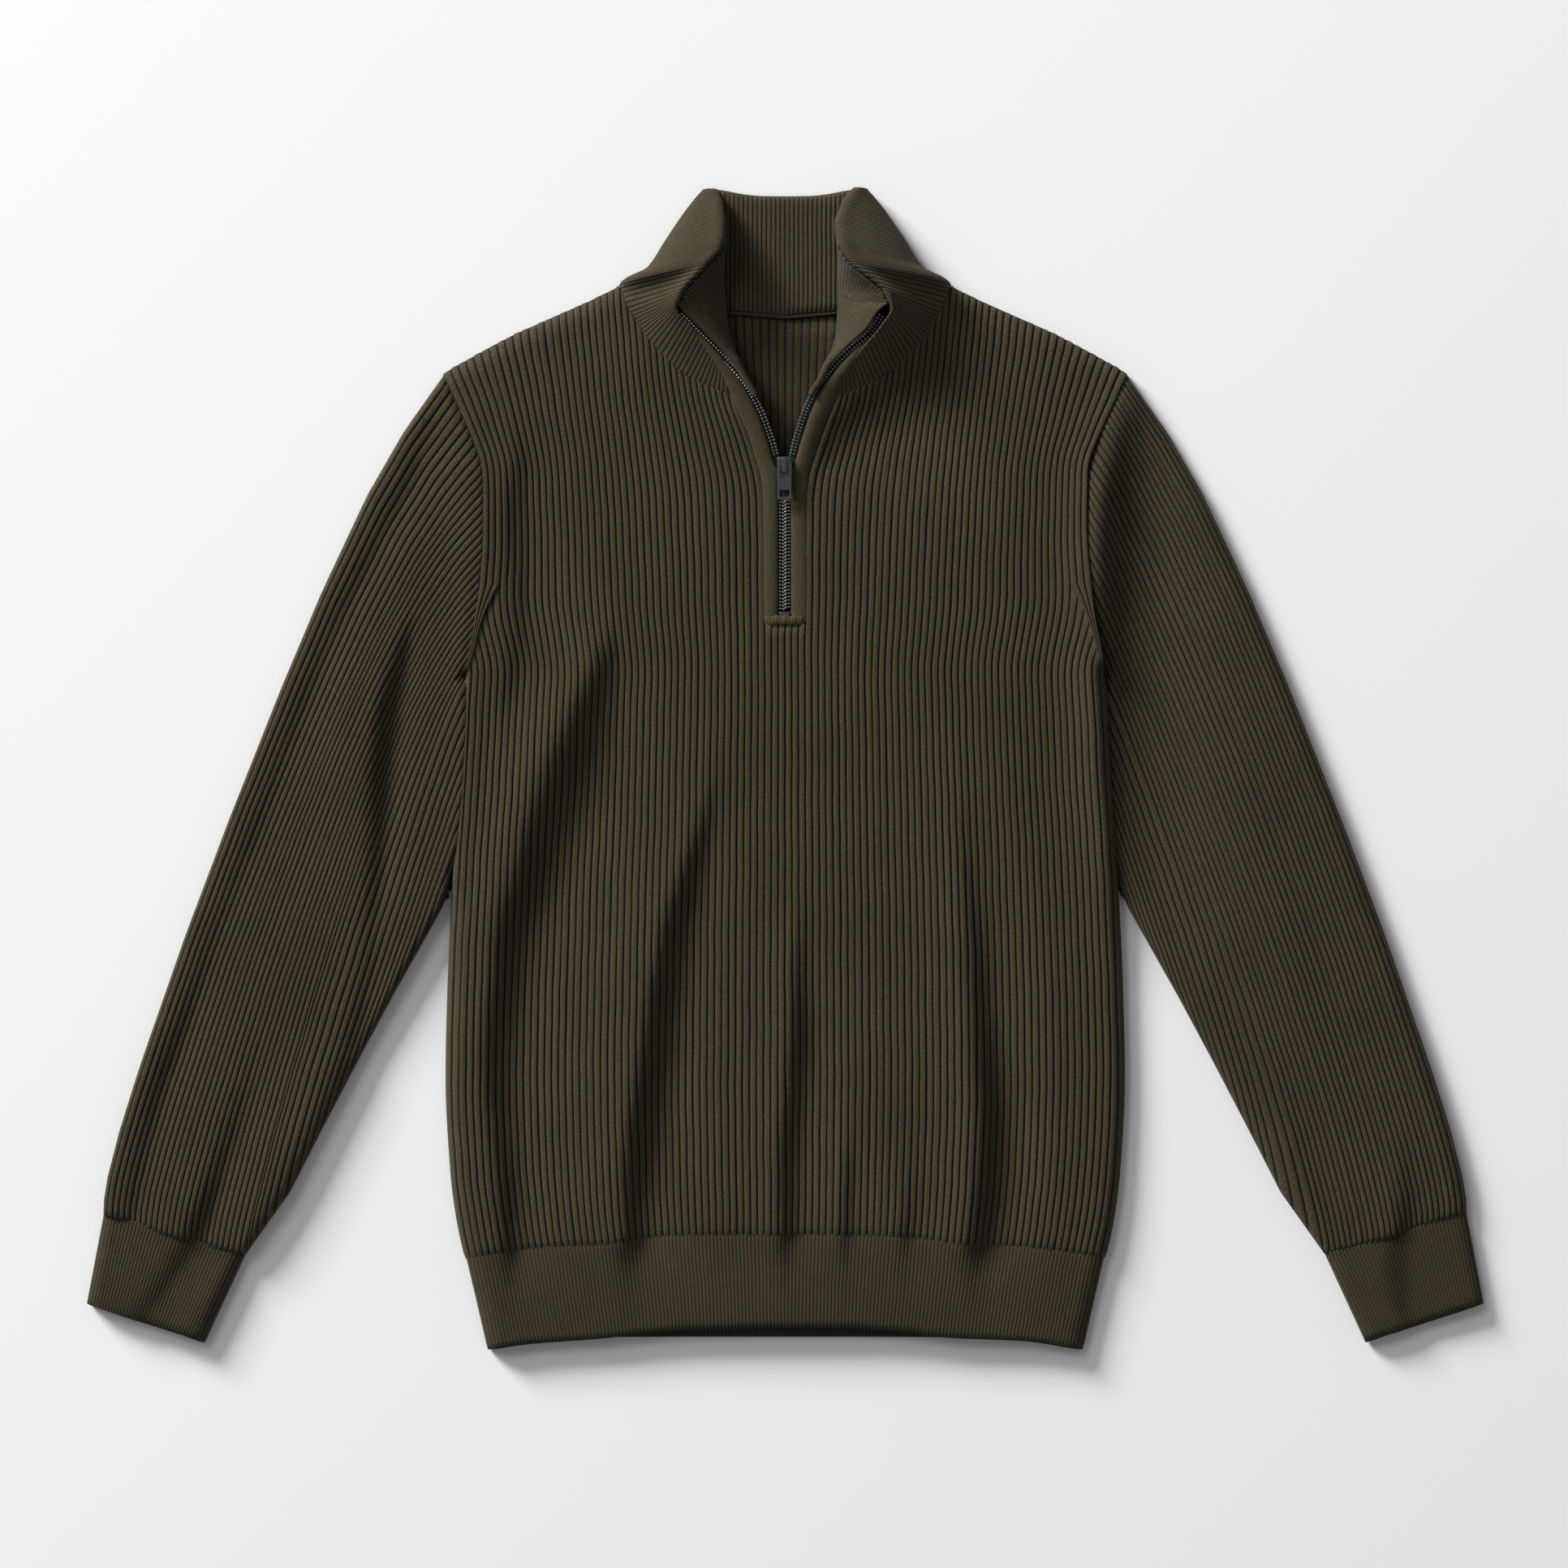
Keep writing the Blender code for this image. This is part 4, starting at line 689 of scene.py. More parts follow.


# Its grooves are darkened with painted shade to a share of the middle tone.
fine_rib = knit_finish(
    "fine_rib", dark=(0.027, 0.021, 0.011), middle=(0.044, 0.036, 0.020),
    light=(0.064, 0.054, 0.033), pitch=2.3, painted_groove_shade=0.42, depth=0.6, streaks=0.4,
)
lines = rib_lines(0, HEM_RIBS, FINE_RIB_STEPS)
x, y = hem_plan(lines, "y_front", np.concatenate([[0, 0.012, 0.03], np.linspace(0.05, 1, 14)]))
edge = smoothstep((y - y[-1]) / 3.0)
wave = rib_wave(lines) * (0.35 + 0.65 * edge)
points = ribbed(x + wander(x, y), y, hem_height, wave, FINE_RIB_RISE)
points[..., 2] -= 0.3 * (1 - smoothstep((y[0] - y) / 2.5))
hem_front = make_cloth("hem_front_band", [(points, lines, y, 1)], fine_rib, thick=2.0)
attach(hem_front, "garment")
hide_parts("hem_front")

lines = np.arange(0, HEM_RIBS + 0.01, 0.25)
x, y = hem_plan(lines, "y_back", np.linspace(0, 1, 6))
points = with_height(x, y, 1.8 + 0.4 * rib_wave(lines) + 0 * x)
hem_back = make_cloth("hem_back_band", [(points, lines, y, 1)], fine_rib, thick=1.7)
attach(hem_back, "garment")
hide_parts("hem_back")

# ---------------------------------------------------------------- sleeves
# Two sleeves in the same wide rib, each a flattened tube from its fashioned cap to the cuff. The
# cap falls into a soft crease beside the armhole, and the inner edge lies beside the body.
SLEEVE_FOLD = 4.0
SLEEVE_CUFF_RIBS = 26
SLEEVE_RIB_RISE = 1.15
SLEEVE_OUTER = table(
    "x y",
    (244.4, 216.6), (268.4, 175.0), (297.7, 112.6), (324.0, 50.2), (357.0, -33.0),
    (384.5, -105.8), (413.4, -189.0), (426.7, -230.6), (436.8, -270.0),
)
SLEEVE_INNER = table(
    "x y",
    (215.8, -78.0), (220.5, -90.0), (229.3, -105.8), (252.7, -147.4), (275.0, -189.0),
    (296.7, -230.6), (318.0, -272.2), (346.0, -311.5),
)
CUFF_SEAM = table(
    "x y",
    (437.5, -286.0), (422.0, -289.5), (391.0, -300.0), (363.0, -308.0), (346.0, -311.5),
)
LEFT_SLEEVE_FOLDS = [
    LEFT_SEAM_RIDGE,
    fall(
        (-240, 98, 6, 0.3), (-246, 78, 6, 3.0), (-256, 40, 7, 5.4), (-261, 0, 7, 6.0),
        (-262, -40, 7, 4.4), (-264, -80, 7, 2.6), (-268, -116, 6, 0.3),
    ),
    fall(
        (-230, 218, 7, 1.2), (-241, 190, 7, 2.0), (-262, 150, 7, 1.6), (-277, 120, 7, 2.0),
        (-296, 80, 8, 1.4), (-312, 40, 8, 2.0), (-326, 0, 8, 1.0), (-341, -40, 8, 1.8),
        (-357, -80, 8, 1.0), (-372, -120, 8, 1.2), (-386, -160, 8, 2.8), (-402, -200, 8, 3.2),
        (-412, -240, 8, 2.0), (-421, -286, 7, 1.4),
    ),
    fall(
        (-343, -182, 8, 0.4), (-350, -215, 9, 1.8), (-361, -248, 8, 2.4), (-373, -282, 7, 4.0),
        (-384, -306, 7, 3.6),
    ),
    ridge((-274, 96, 11, 0.6), (-283, 44, 12, 2.0), (-288, 0, 12, 1.6), (-292, -44, 12, 0.4)),
    ridge((-300, -60, 26, 0.4), (-318, -120, 26, 1.2), (-336, -170, 24, 0.6)),
    fall((-268, -130, 8, 1.6), (-282, -190, 8, 2.6), (-306, -240, 8, 2.4), (-330, -290, 8, 1.6)),
]
RIGHT_SLEEVE_FOLDS = [
    ridge(
        (221, 246, 8, 1.0), (209, 214, 9, 6.0), (202, 180, 10, 10.5), (199, 150, 11, 13.0),
        (200, 118, 11, 12.0), (203, 92, 9, 7.0), (204, 68, 8, 0),
    ),
    ridge(
        (242, 226, 18, -1.0), (232, 190, 26, -4.6), (228, 150, 34, -6.4), (228, 100, 42, -6.8),
        (232, 40, 44, -6.8), (238, -30, 42, -6.2), (250, -90, 34, -3.4), (262, -140, 28, -0.4),
    ),
    ridge((262, 90, 24, 0.6), (285, 10, 24, 1.0), (306, -60, 22, 0.4)),
    fall((318, -60, 16, 0.2), (334, -130, 16, 1.2), (350, -200, 14, 0.8)),
    fall((397, -244, 7, 0.3), (397, -280, 7, 2.6), (392, -304, 7, 3.0)),
    fall((322, -214, 9, 0.3), (328, -244, 9, 1.6), (342, -290, 8, 1.2)),
]


def bezier(start, leave, arrive, end, rows):
    """Curves from start to end through two handles, one row of points for each fraction."""
    t = np.asarray(rows)[:, None, None]
    return (
        start * (1 - t) ** 3
        + 3 * leave * t * (1 - t) ** 2
        + 3 * arrive * t**2 * (1 - t)
        + end * t**3
    )


def armhole_path():
    """The right armhole from the shoulder point to the underarm."""
    top = column_top(np.array([float(RIBS_UPPER)]))[0]
    y = np.concatenate([np.linspace(top, 118, 24), [100.0, 80.0, UNDERARM_Y]])
    return np.stack([side_x(y), y], axis=-1)


def sleeve_start():
    """Where a right sleeve's ribs start: up the armhole, then just under the body's edge."""
    armhole = armhole_path() - (1.0, 0)
    beside_y = np.array([UNDERARM_Y, UNDERARM_Y - 7, 40, 20, -20, -50, -66])
    beside = np.stack([side_x(beside_y) - (1.0, 3.0, 4.4, 5.5, 5.5, 4.0, -0.5), beside_y], axis=-1)
    return armhole, beside


def sleeve_outer():
    """A right sleeve's outer edge from the shoulder point to the cuff."""
    armhole, _ = sleeve_start()
    return np.concatenate([armhole[:1], path_of(SLEEVE_OUTER), path_of(CUFF_SEAM)[:1]])


def sleeve_plan_of(ribs, armhole_ribs, crowding, leaving, reach, lowering):
    """Plan of a sleeve's upper face as on the right: its ribs, and those from the armhole.

    Ribs crowd towards the top of the armhole. The leaving pair gives places down the armhole, from
    0 to 1 and on beside the body, and how steeply ribs leave there in degrees. Lowering above 1
    brings the ribs that run out at the inner edge further down.
    """

    def plan(lines, rows):
        armhole, beside = sleeve_start()
        up = lines <= armhole_ribs
        share = np.clip(lines / armhole_ribs, 0, 1)
        share = share * (1 - crowding) + share**3 * crowding
        later = np.clip((lines - armhole_ribs) / (ribs - armhole_ribs), 0, 1)
        later = later ** (0.5 + 0.5 * lowering)
        start = np.where(up[:, None], along_path(armhole, share), along_path(beside, later))

        to_cuff = lines <= SLEEVE_CUFF_RIBS
        share = np.clip(lines / SLEEVE_CUFF_RIBS, 0, 1)
        later = np.clip((lines - SLEEVE_CUFF_RIBS) / (ribs - SLEEVE_CUFF_RIBS), 0, 1)
        cuff = along_path(path_of(CUFF_SEAM), share)
        inner = along_path(path_of(SLEEVE_INNER)[::-1], later**lowering)
        end = np.where(to_cuff[:, None], cuff, inner)

        chord = np.linalg.norm(end - start, axis=1, keepdims=True)
        steep = np.radians(np.interp(lines / armhole_ribs, *leaving))
        leave = start + np.stack([np.cos(steep), -np.sin(steep)], axis=-1) * chord * reach
        beside_body = smoothstep((lines - SLEEVE_CUFF_RIBS - 2) / 10)
        arriving = blend(np.array([0.22, -0.97]), np.array([0.38, -0.92]), beside_body)
        arrive = end - arriving * chord * 0.4
        paths = bezier(start, leave, arrive, end, rows)

        # The first rib follows the sleeve's outer edge and the next ones lean towards it
        outer = along_path(sleeve_outer(), rows)
        pull = np.clip(1 - lines / ribs, 0, 1)[None, :, None] ** 1.5
        paths = paths + (outer[:, None] - paths[:, :1]) * pull
        return paths[..., 0], paths[..., 1]

    return plan


def sleeve_edges():
    """The folds of a right sleeve: its outer edge and its inner edge from the underarm."""
    outer = sleeve_outer()
    _, beside = sleeve_start()
    under = np.array([[side_x(UNDERARM_Y) - 0.6, UNDERARM_Y]])
    inner = np.concatenate([under, beside, path_of(SLEEVE_INNER)])
    return outer, inner


def tube_grids(plan, lines, rows, edges, height, rise, fold, mirror):
    """A flattened tube's upper face, ribbed, and its plain underside, meeting round its folds."""
    x, y = plan(lines, rows)
    edge_gap = distance_to(edges, x, y)
    course = y
    wave = rib_wave(lines) * smoothstep(edge_gap / 2.0)
    x = x + wander(x, y) * smoothstep(edge_gap / 8)
    face = ribbed(x, y, height, wave, rise)
    face[..., 2] -= 0.6 * (1 - smoothstep(np.linalg.norm(face - face[-1], axis=-1) / 4.0))
    near = np.clip(edge_gap / fold, 0, 1)
    under = with_height(x, y, fold * (1 - np.sqrt(near * (2 - near))))
    flip = (mirror, 1, 1)
    return [(face * flip, lines, course, 1), (under * flip, lines, course, -1)]


def sleeve_height(edges, folds, side, top):
    """Height of a sleeve's upper face, which leaves the armhole a little under the front's edge."""
    radius = LEFT_EDGE_RADIUS if side < 0 else ROLL_RADIUS

    def height(x, y):
        by_cuff = np.exp(-((distance_to([path_of(CUFF_SEAM)], x, y) / 14) ** 2))
        crown = top + fold_height(folds, x, y) - by_cuff
        tube = SLEEVE_FOLD + (crown - SLEEVE_FOLD) * roll(distance_to(edges, x, y), radius)
        from_seam = smoothstep(distance_to([armhole_path()], x, y) / 7)
        seam = np.minimum(front_height(side * side_x(y), y) - 0.9, tube)
        return tube * from_seam + seam * (1 - from_seam)

    return height


def mirrored(folds, mirror):
    """Folds moved into the right side's plan; a fall still drops to the same side of the table."""
    swapped = []
    for fold in folds:
        fold = {**fold, "x": fold["x"] * mirror}
        if "fall" in fold:
            fold["fall"] = fold["fall"] * mirror
        swapped.append(fold)
    return swapped


sleeve_rows = np.concatenate([np.linspace(0, 0.985, 46) ** 1.15, [0.993, 1]])
left_plan = sleeve_plan_of(
    ribs=43, armhole_ribs=32, crowding=0.0,
    leaving=((0, 0.45, 0.8, 1.0, 1.1), (46, 34, 42, 60, 64)), reach=0.15, lowering=1.5,
)
right_plan = sleeve_plan_of(
    ribs=42, armhole_ribs=30, crowding=0.5, leaving=((0, 1), (60, 67)), reach=0.25, lowering=1.0
)
for name, mirror, plan, ribs, top, folds in (
    ("left", -1, left_plan, 43, 12.6, LEFT_SLEEVE_FOLDS),
    ("right", 1, right_plan, 42, 11.0, RIGHT_SLEEVE_FOLDS),
):
    edges = sleeve_edges()
    lines = rib_lines(0, ribs)
    height = sleeve_height(edges, mirrored(folds, mirror), mirror, top)
    grids = tube_grids(
        plan, lines, sleeve_rows, edges, height, SLEEVE_RIB_RISE, SLEEVE_FOLD, mirror
    )
    sleeve = make_cloth(name + "_sleeve", grids, rib_knit, thick=1.8)
    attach(sleeve, "garment")
    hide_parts("sleeve_" + name)

# ---------------------------------------------------------------- cuffs
# Two deep cuffs in fine rib, linked to the sleeve ends, each a flattened tube with its seam on the
# side next to the body.
CUFF_RIBS = 41
CUFF_FOLD = 3.6
CUFF_AXIS = np.array([0.24, -0.97])
CUFF_FOOT = table(
    "x y",
    (448.3, -343.2), (431.5, -348.7), (411.0, -355.5), (385.0, -363.5), (372.5, -368.5),
)


def cuff_plan(lines, rows):
    share = lines / CUFF_RIBS
    top = along_path(path_of(CUFF_SEAM), share) - CUFF_AXIS * SEAM_TUCK
    foot = along_path(path_of(CUFF_FOOT), share)
    points = top + (foot - top) * np.asarray(rows)[:, None, None]
    return points[..., 0], points[..., 1]


LEFT_CUFF_FOLDS = [
    fall((-384, -306, 8, 2.4), (-396, -326, 8, 1.8), (-409, -344, 8, 1.4), (-416, -358, 7, 1.0)),
    ridge((-356, -318, 9, 0.8), (-372, -342, 9, 1.4), (-384, -362, 9, 0.8)),
]
RIGHT_CUFF_FOLDS = [
    fall((391, -302, 9, 2.0), (391, -326, 9, 2.2), (394, -344, 9, 2.0), (400, -360, 8, 1.4)),
]
cuff_ends = np.stack(cuff_plan(np.array([0.0, CUFF_RIBS]), [0, 1]), axis=-1)
cuff_edges = [cuff_ends[:, 0], cuff_ends[:, 1]]


def cuff_height(folds, top):
    """Height of a cuff's upper face, creased in line with its sleeve."""

    def height(x, y):
        crown = top + fold_height(folds, x, y)
        return CUFF_FOLD + (crown - CUFF_FOLD) * roll(distance_to(cuff_edges, x, y), 9)

    return height


for name, mirror, top, folds in (
    ("left", -1, 11.2, LEFT_CUFF_FOLDS),
    ("right", 1, 9.6, RIGHT_CUFF_FOLDS),
):
    lines = rib_lines(0, CUFF_RIBS, FINE_RIB_STEPS)
    rows = np.concatenate([[0, 0.02, 0.045], np.linspace(0.08, 1, 12)])
    height = cuff_height(mirrored(folds, mirror), top)
    grids = tube_grids(cuff_plan, lines, rows, cuff_edges, height, FINE_RIB_RISE, CUFF_FOLD, mirror)
    cuff = make_cloth(name + "_cuff", grids, fine_rib, thick=1.8)
    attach(cuff, "garment")
    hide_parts("cuff_" + name)

# ---------------------------------------------------------------- collar
# The collar: a doubled funnel of fine rib. Its back lies flat behind the neck, and each side
# stands up, turned outwards from the zip, with the rolled fold of the two layers as its ridge.
FLAP_RIBS = 70
FLAP_SEAM_RIBS = 33
COLLAR_RIM = 5.6
COLLAR_THICK = 4.8
# The right side stands up higher than the left
FLAP_LIFT = {-1: 0.0, 1: 7.0}
# Steps outwards and upwards over a side's rolled ridge
ROLLED_RIDGE = ((1.3, 1.4), (2.4, 0.9), (3.2, -0.2), (3.7, -1.7), (3.9, -3.4), (3.9, -5.4))
COLLAR_SIDE = table(
    "x y",
    (106.4, 309.8), (97.0, 315.4), (87.5, 321.0), (81.5, 331.0), (74.6, 341.4), (68.0, 351.8),
    (59.5, 362.0), (50.5, 372.4),
)
COLLAR_TOP = table("x y", (0, 367.2), (15, 367.4), (27, 368.6), (40, 371.0), (50.5, 372.4))
# Each side rib by rib, round the neck seam and up the fold: its foot, and its ridge
FLAP = table(
    "rib foot_x foot_y top_x_left top_x_right top_y top_z",
    (0, 33.0, 238.2, 36.5, 35.5, 247.5, 20.0), (8, 57.0, 248.6, 48.5, 48.8, 266.0, 25.0),
    (14, 73.0, 260.2, 60.5, 61.6, 280.8, 30.0), (20, 88.0, 276.4, 70.2, 68.6, 292.5, 33.0),
    (27, 98.0, 292.0, 67.8, 66.0, 302.0, 35.0), (33, 106.0, 309.3, 53.0, 46.0, 319.5, 35.5),
    (42, 88.5, 321.0, 43.6, 38.2, 332.0, 33.0), (52, 76.4, 339.0, 42.4, 36.4, 346.0, 26.0),
    (62, 64.6, 356.4, 44.0, 40.4, 361.0, 17.0), (70, 52.9, 371.2, 48.0, 47.2, 371.4, 9.0),
)
# The inner layer row by row: its edge under the ridge, and where it tucks in beside the zip
FACING = table(
    "row edge_x_left edge_x_right edge_y edge_z tuck_x_left tuck_x_right tuck_y tuck_z",
    (-2, 19.3, 16.5, 239.0, 18.4, 18.8, 16.0, 238.6, 18.0),
    (-1, 26.2, 23.6, 249.4, 20.2, 24.6, 22.2, 248.8, 18.6),
    (0, 32.2, 28.6, 258.4, 22.2, 28.8, 26.0, 257.8, 17.6),
    (1, 43.8, 40.4, 269.6, 24.8, 33.6, 31.0, 267.0, 14.4),
    (2, 53.4, 51.4, 279.0, 27.6, 37.0, 34.0, 279.0, 12.0),
    (3, 65.4, 60.4, 291.0, 31.0, 38.5, 35.0, 291.0, 11.0),
    (4, 68.8, 67.0, 296.0, 32.4, 39.2, 35.5, 298.0, 11.0),
    (5, 67.2, 65.4, 302.0, 34.0, 39.8, 35.5, 305.0, 11.5),
    (6, 52.4, 45.4, 319.5, 34.6, 40.6, 35.6, 319.0, 14.0),
    (7, 43.0, 37.6, 332.0, 32.0, 40.4, 35.4, 331.0, 14.0),
    (8, 41.8, 35.8, 346.0, 25.0, 40.0, 34.8, 345.0, 11.0),
    (9, 43.6, 39.2, 358.0, 17.2, 42.0, 38.0, 356.5, 9.0),
)


def raised_along(points, wave, rise):
    """Points pushed out along the normals of their own grid."""
    normals = np.cross(np.gradient(points, axis=0), np.gradient(points, axis=1))
    normals *= np.sign(normals[..., 2:].mean())
    normals /= np.maximum(np.linalg.norm(normals, axis=-1, keepdims=True), 1e-9)
    return points + normals * (wave * rise)[..., None]


def flap_face(side, lines, rows):
    """A collar side's face, row by row up its ribs, then over the rolled ridge and down inside."""
    column = {key: smooth(FLAP["rib"], FLAP[key], lines) for key in FLAP}
    foot = np.stack([column["foot_x"], column["foot_y"]], axis=-1)
    top = np.stack([column["top_x_" + HANDS[side]], column["top_y"]], axis=-1)
    on_fold = smoothstep((lines - FLAP_SEAM_RIBS + 4) / 5)
    run = (top - foot) / np.linalg.norm(top - foot, axis=-1, keepdims=True)
    seam_z = np.maximum(front_height(side * foot[:, 0], foot[:, 1]), COLLAR_RIM + 1.4)
    foot_z = seam_z * (1 - on_fold) + COLLAR_RIM * on_fold
    top_z = column["top_z"] + FLAP_LIFT[side] * smoothstep((lines - 3) / 12)
    top_z = np.maximum(top_z, foot_z + 0.6)
    t = np.asarray(rows)[:, None]
    rise = t * (1 - on_fold) + roll(t, 1.0) * on_fold
    z = foot_z + 0.9 + (top_z - foot_z - 0.9) * rise
    crest = smoothstep((lines - 17) / 6)
    z = z + crest * 1.6 * np.exp(-(((1 - t) * np.linalg.norm(top - foot, axis=-1) / 5.0) ** 2))
    plan = foot + (top - foot) * t[..., None]
    tucked = [1.6 * (1 - on_fold) + 0.2, 1.0 * (1 - on_fold)]
    size = 0.22 + 0.78 * crest
    out, up = np.array(ROLLED_RIDGE).T[..., None] * size
    before = foot - run * np.array(tucked)[..., None]
    plan = np.concatenate([before, plan, top + run * out[..., None]])
    z = np.concatenate([[foot_z - 1.6, foot_z + 0.2], z, top_z + up])
    return with_height(side * plan[..., 0], plan[..., 1], z)


# Its grooves are darkened with painted shade to a share of the middle tone.
collar_rib = knit_finish(
    "collar_rib", dark=(0.030, 0.024, 0.012), middle=(0.055, 0.046, 0.027),
    light=(0.088, 0.075, 0.047), pitch=2.8, painted_groove_shade=0.28, depth=0.6, streaks=0.5,
)
lines = rib_lines(0, FLAP_RIBS)
rows = np.concatenate([[0, 0.03], np.linspace(0.08, 1, 19)])
for side, name in HANDS.items():
    face = flap_face(side, lines, rows)
    wave = rib_wave(lines) * smoothstep((FLAP_RIBS - lines) / 3) * smoothstep(lines / 2)
    face = raised_along(face, np.broadcast_to(wave, face.shape[:2]), FINE_RIB_RISE)
    course = np.concatenate([[-1.6, -1.0], rows * 45, 45 + np.arange(1, 7) * 1.4])[:, None]
    flap = make_cloth(name + "_collar", [(face, lines, course, 1)], collar_rib, thick=1.8)
    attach(flap, "garment")
    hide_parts("collar_" + name)

# Inner layer beside the zip: fine rib that fans out from the zip, smooth along the zip itself
FACING_RIBS = 19
FACING_TUCK_X = 34.0
ZIP_LINE = table(
    "y x_left x_right z",
    (PLACKET_FOOT_Y, 0.0, 0.0, 12.2), (188, 0.0, 0.0, 12.8), (198, 3.6, 3.2, 13.4),
    (209, 6.8, 5.8, 14.2), (219, 10.3, 8.9, 15.4), (227, 13.4, 11.4, 16.6),
    (235, 17.4, 14.9, 18.0), (243, 22.1, 18.9, 19.6), (250, 27.0, 24.4, 21.0),
    (259, 35.0, 32.0, 23.2), (269, 45.2, 42.3, 26.0), (278, 54.6, 53.4, 28.6),
    (285, 61.4, 58.6, 30.6), (291, 67.6, 62.0, 32.0),
)
ZIP_CENTRE_X = -0.5


def zip_x(side, y):
    return ZIP_CENTRE_X + side * smooth(ZIP_LINE["y"], ZIP_LINE["x_" + HANDS[side]], y)


def zip_z(y):
    return smooth(ZIP_LINE["y"], ZIP_LINE["z"], y)


mouth_y = np.array([240.0, 262.0, 291.0])
mouth = np.stack([zip_x(1, mouth_y), mouth_y], axis=-1)
position = np.arange(-2, 9.001, 1 / 24)
for side, name in HANDS.items():
    column = {key: smooth(FACING["row"], FACING[key], position) for key in FACING}
    behind = smoothstep((position - 3.4) / 1.2)
    lift = FLAP_LIFT[side] * smoothstep((position + 0.5) / 4)
    edge_x = column["edge_x_" + name] - 2.2 * behind
    edge = with_height(edge_x, column["edge_y"], column["edge_z"] + lift - 2.0 * behind)
    tuck = with_height(column["tuck_x_" + name], column["tuck_y"], column["tuck_z"])
    t = np.linspace(0, 1, 22)[:, None, None]
    inner = edge + (tuck - edge) * t + 2.5 * np.sin(np.pi * t) * np.array([0, 0, 1])
    inner = raised_along(inner * (side, 1, 1), np.ones(inner.shape[:2]), 1.8)
    depth = np.linalg.norm(tuck - edge, axis=-1) * t[..., 0]
    from_zip = distance_to([mouth], side * inner[..., 0], inner[..., 1])
    from_tuck = np.abs(side * inner[..., 0] - FACING_TUCK_X)
    ribs = FACING_RIBS * from_zip / np.maximum(from_zip + from_tuck, 0.01)
    pitch = (from_zip + from_tuck) / FACING_RIBS
    plain = smoothstep((from_zip - 3.5) / 3.0) * smoothstep((pitch - 0.7) / 0.5)
    inner = raised_along(inner, rib_wave(ribs) * plain, 0.45)
    facing = make_cloth(name + "_collar_inside", [(inner, ribs, depth, 1)], collar_rib, thick=1.4)
    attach(facing, "garment")
    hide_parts("collar_facing_" + name)

# Back of the collar, doubled, with the ribs running up to its rolled top edge
COLLAR_BACK_PITCH = 2.96
CURL_RADIUS = 3.0
lines = rib_lines(-17, 17)
x = lines * COLLAR_BACK_PITCH
foot_y = smooth(BACK_NECK["x"], BACK_NECK["y"], np.abs(x)) + 1.6
back_top = smooth(COLLAR_TOP["x"], COLLAR_TOP["y"], np.abs(x))
curl = np.radians(np.linspace(0, 90, 8)[1:])[:, None]
flat_y = back_top - CURL_RADIUS
flat = blend(foot_y, flat_y, np.linspace(0, 1, 15))
y = np.concatenate([flat, flat_y + CURL_RADIUS * np.sin(curl)])
drop = np.concatenate([0 * flat[:, :1], CURL_RADIUS * (1 - np.cos(curl))])
z = COLLAR_THICK - drop + 0.5 * np.exp(-(((back_top - y - 5) / 4) ** 2))
wave = rib_wave(lines) * (0.35 + 0.65 * smoothstep((back_top - y - 1) / 5))
points = raised_along(with_height(x + wander(x, y) * 0.6 + 0 * y, y, z), wave, 0.75)
grids = [(points, lines, y, 1)]
wing_y = np.linspace(300, 368.6, 20)[:, None]
wing_reach = np.interp(wing_y, COLLAR_SIDE["y"], COLLAR_SIDE["x"]) - COLLAR_SIDE["x"][-1]
wing_x = 50.0 + wing_reach * np.linspace(0, 1, 8)
for side in HANDS:
    wing = with_height(side * wing_x, wing_y + 0 * wing_x, 3.8 + 0 * wing_x)
    grids.append((wing, wing_x / 3, wing_y, 1))
collar_back = make_cloth("back_collar", grids, collar_rib, thick=2.0)
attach(collar_back, "garment")
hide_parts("collar_back")

# ---------------------------------------------------------------- inner neck seam
# The corded seam where the collar's inner half is linked to the back, across the back of the neck.
CORD_RADIUS = 1.1
CORD_STITCH = 2.3
xs = np.arange(-62, 62.01, 0.45)
centre_y = smooth(BACK_NECK["x"], BACK_NECK["y"], np.abs(xs))
turn = np.linspace(0, 2 * np.pi, 13)[:, None]
stitch = CORD_RADIUS * (1 + 0.16 * np.abs(np.sin(np.pi * (xs + 0.6 * np.sin(turn)) / CORD_STITCH)))
cord_y = centre_y + stitch * np.cos(turn)
cord = with_height(xs + 0 * turn, cord_y, 2.5 + CORD_RADIUS + stitch * np.sin(turn))
neck_cord = make_cloth("neck_cord", [(cord, xs / CORD_STITCH, turn, 1)], collar_rib, thick=0)
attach(neck_cord, "garment")
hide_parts("neck_seam")

# ---------------------------------------------------------------- placket
# Plain knitted bands either side of the zip, each a flat tube with its courses running across, and
# a short end tab sewn over their feet.
COURSE = 1.05


def band_edge_x(side, y):
    """Outer edge of the plain band: the front's slit below, the flap's edge above."""
    below = smooth(BAND["y"], BAND["x"], np.minimum(y, NECK_JOIN_Y))
    above = smooth(FLAP["top_y"][:4], FLAP["top_x_" + HANDS[side]][:4], y)
    share = smoothstep((y - NECK_JOIN_Y) / 10)
    return side * (below * (1 - share) + above * share)
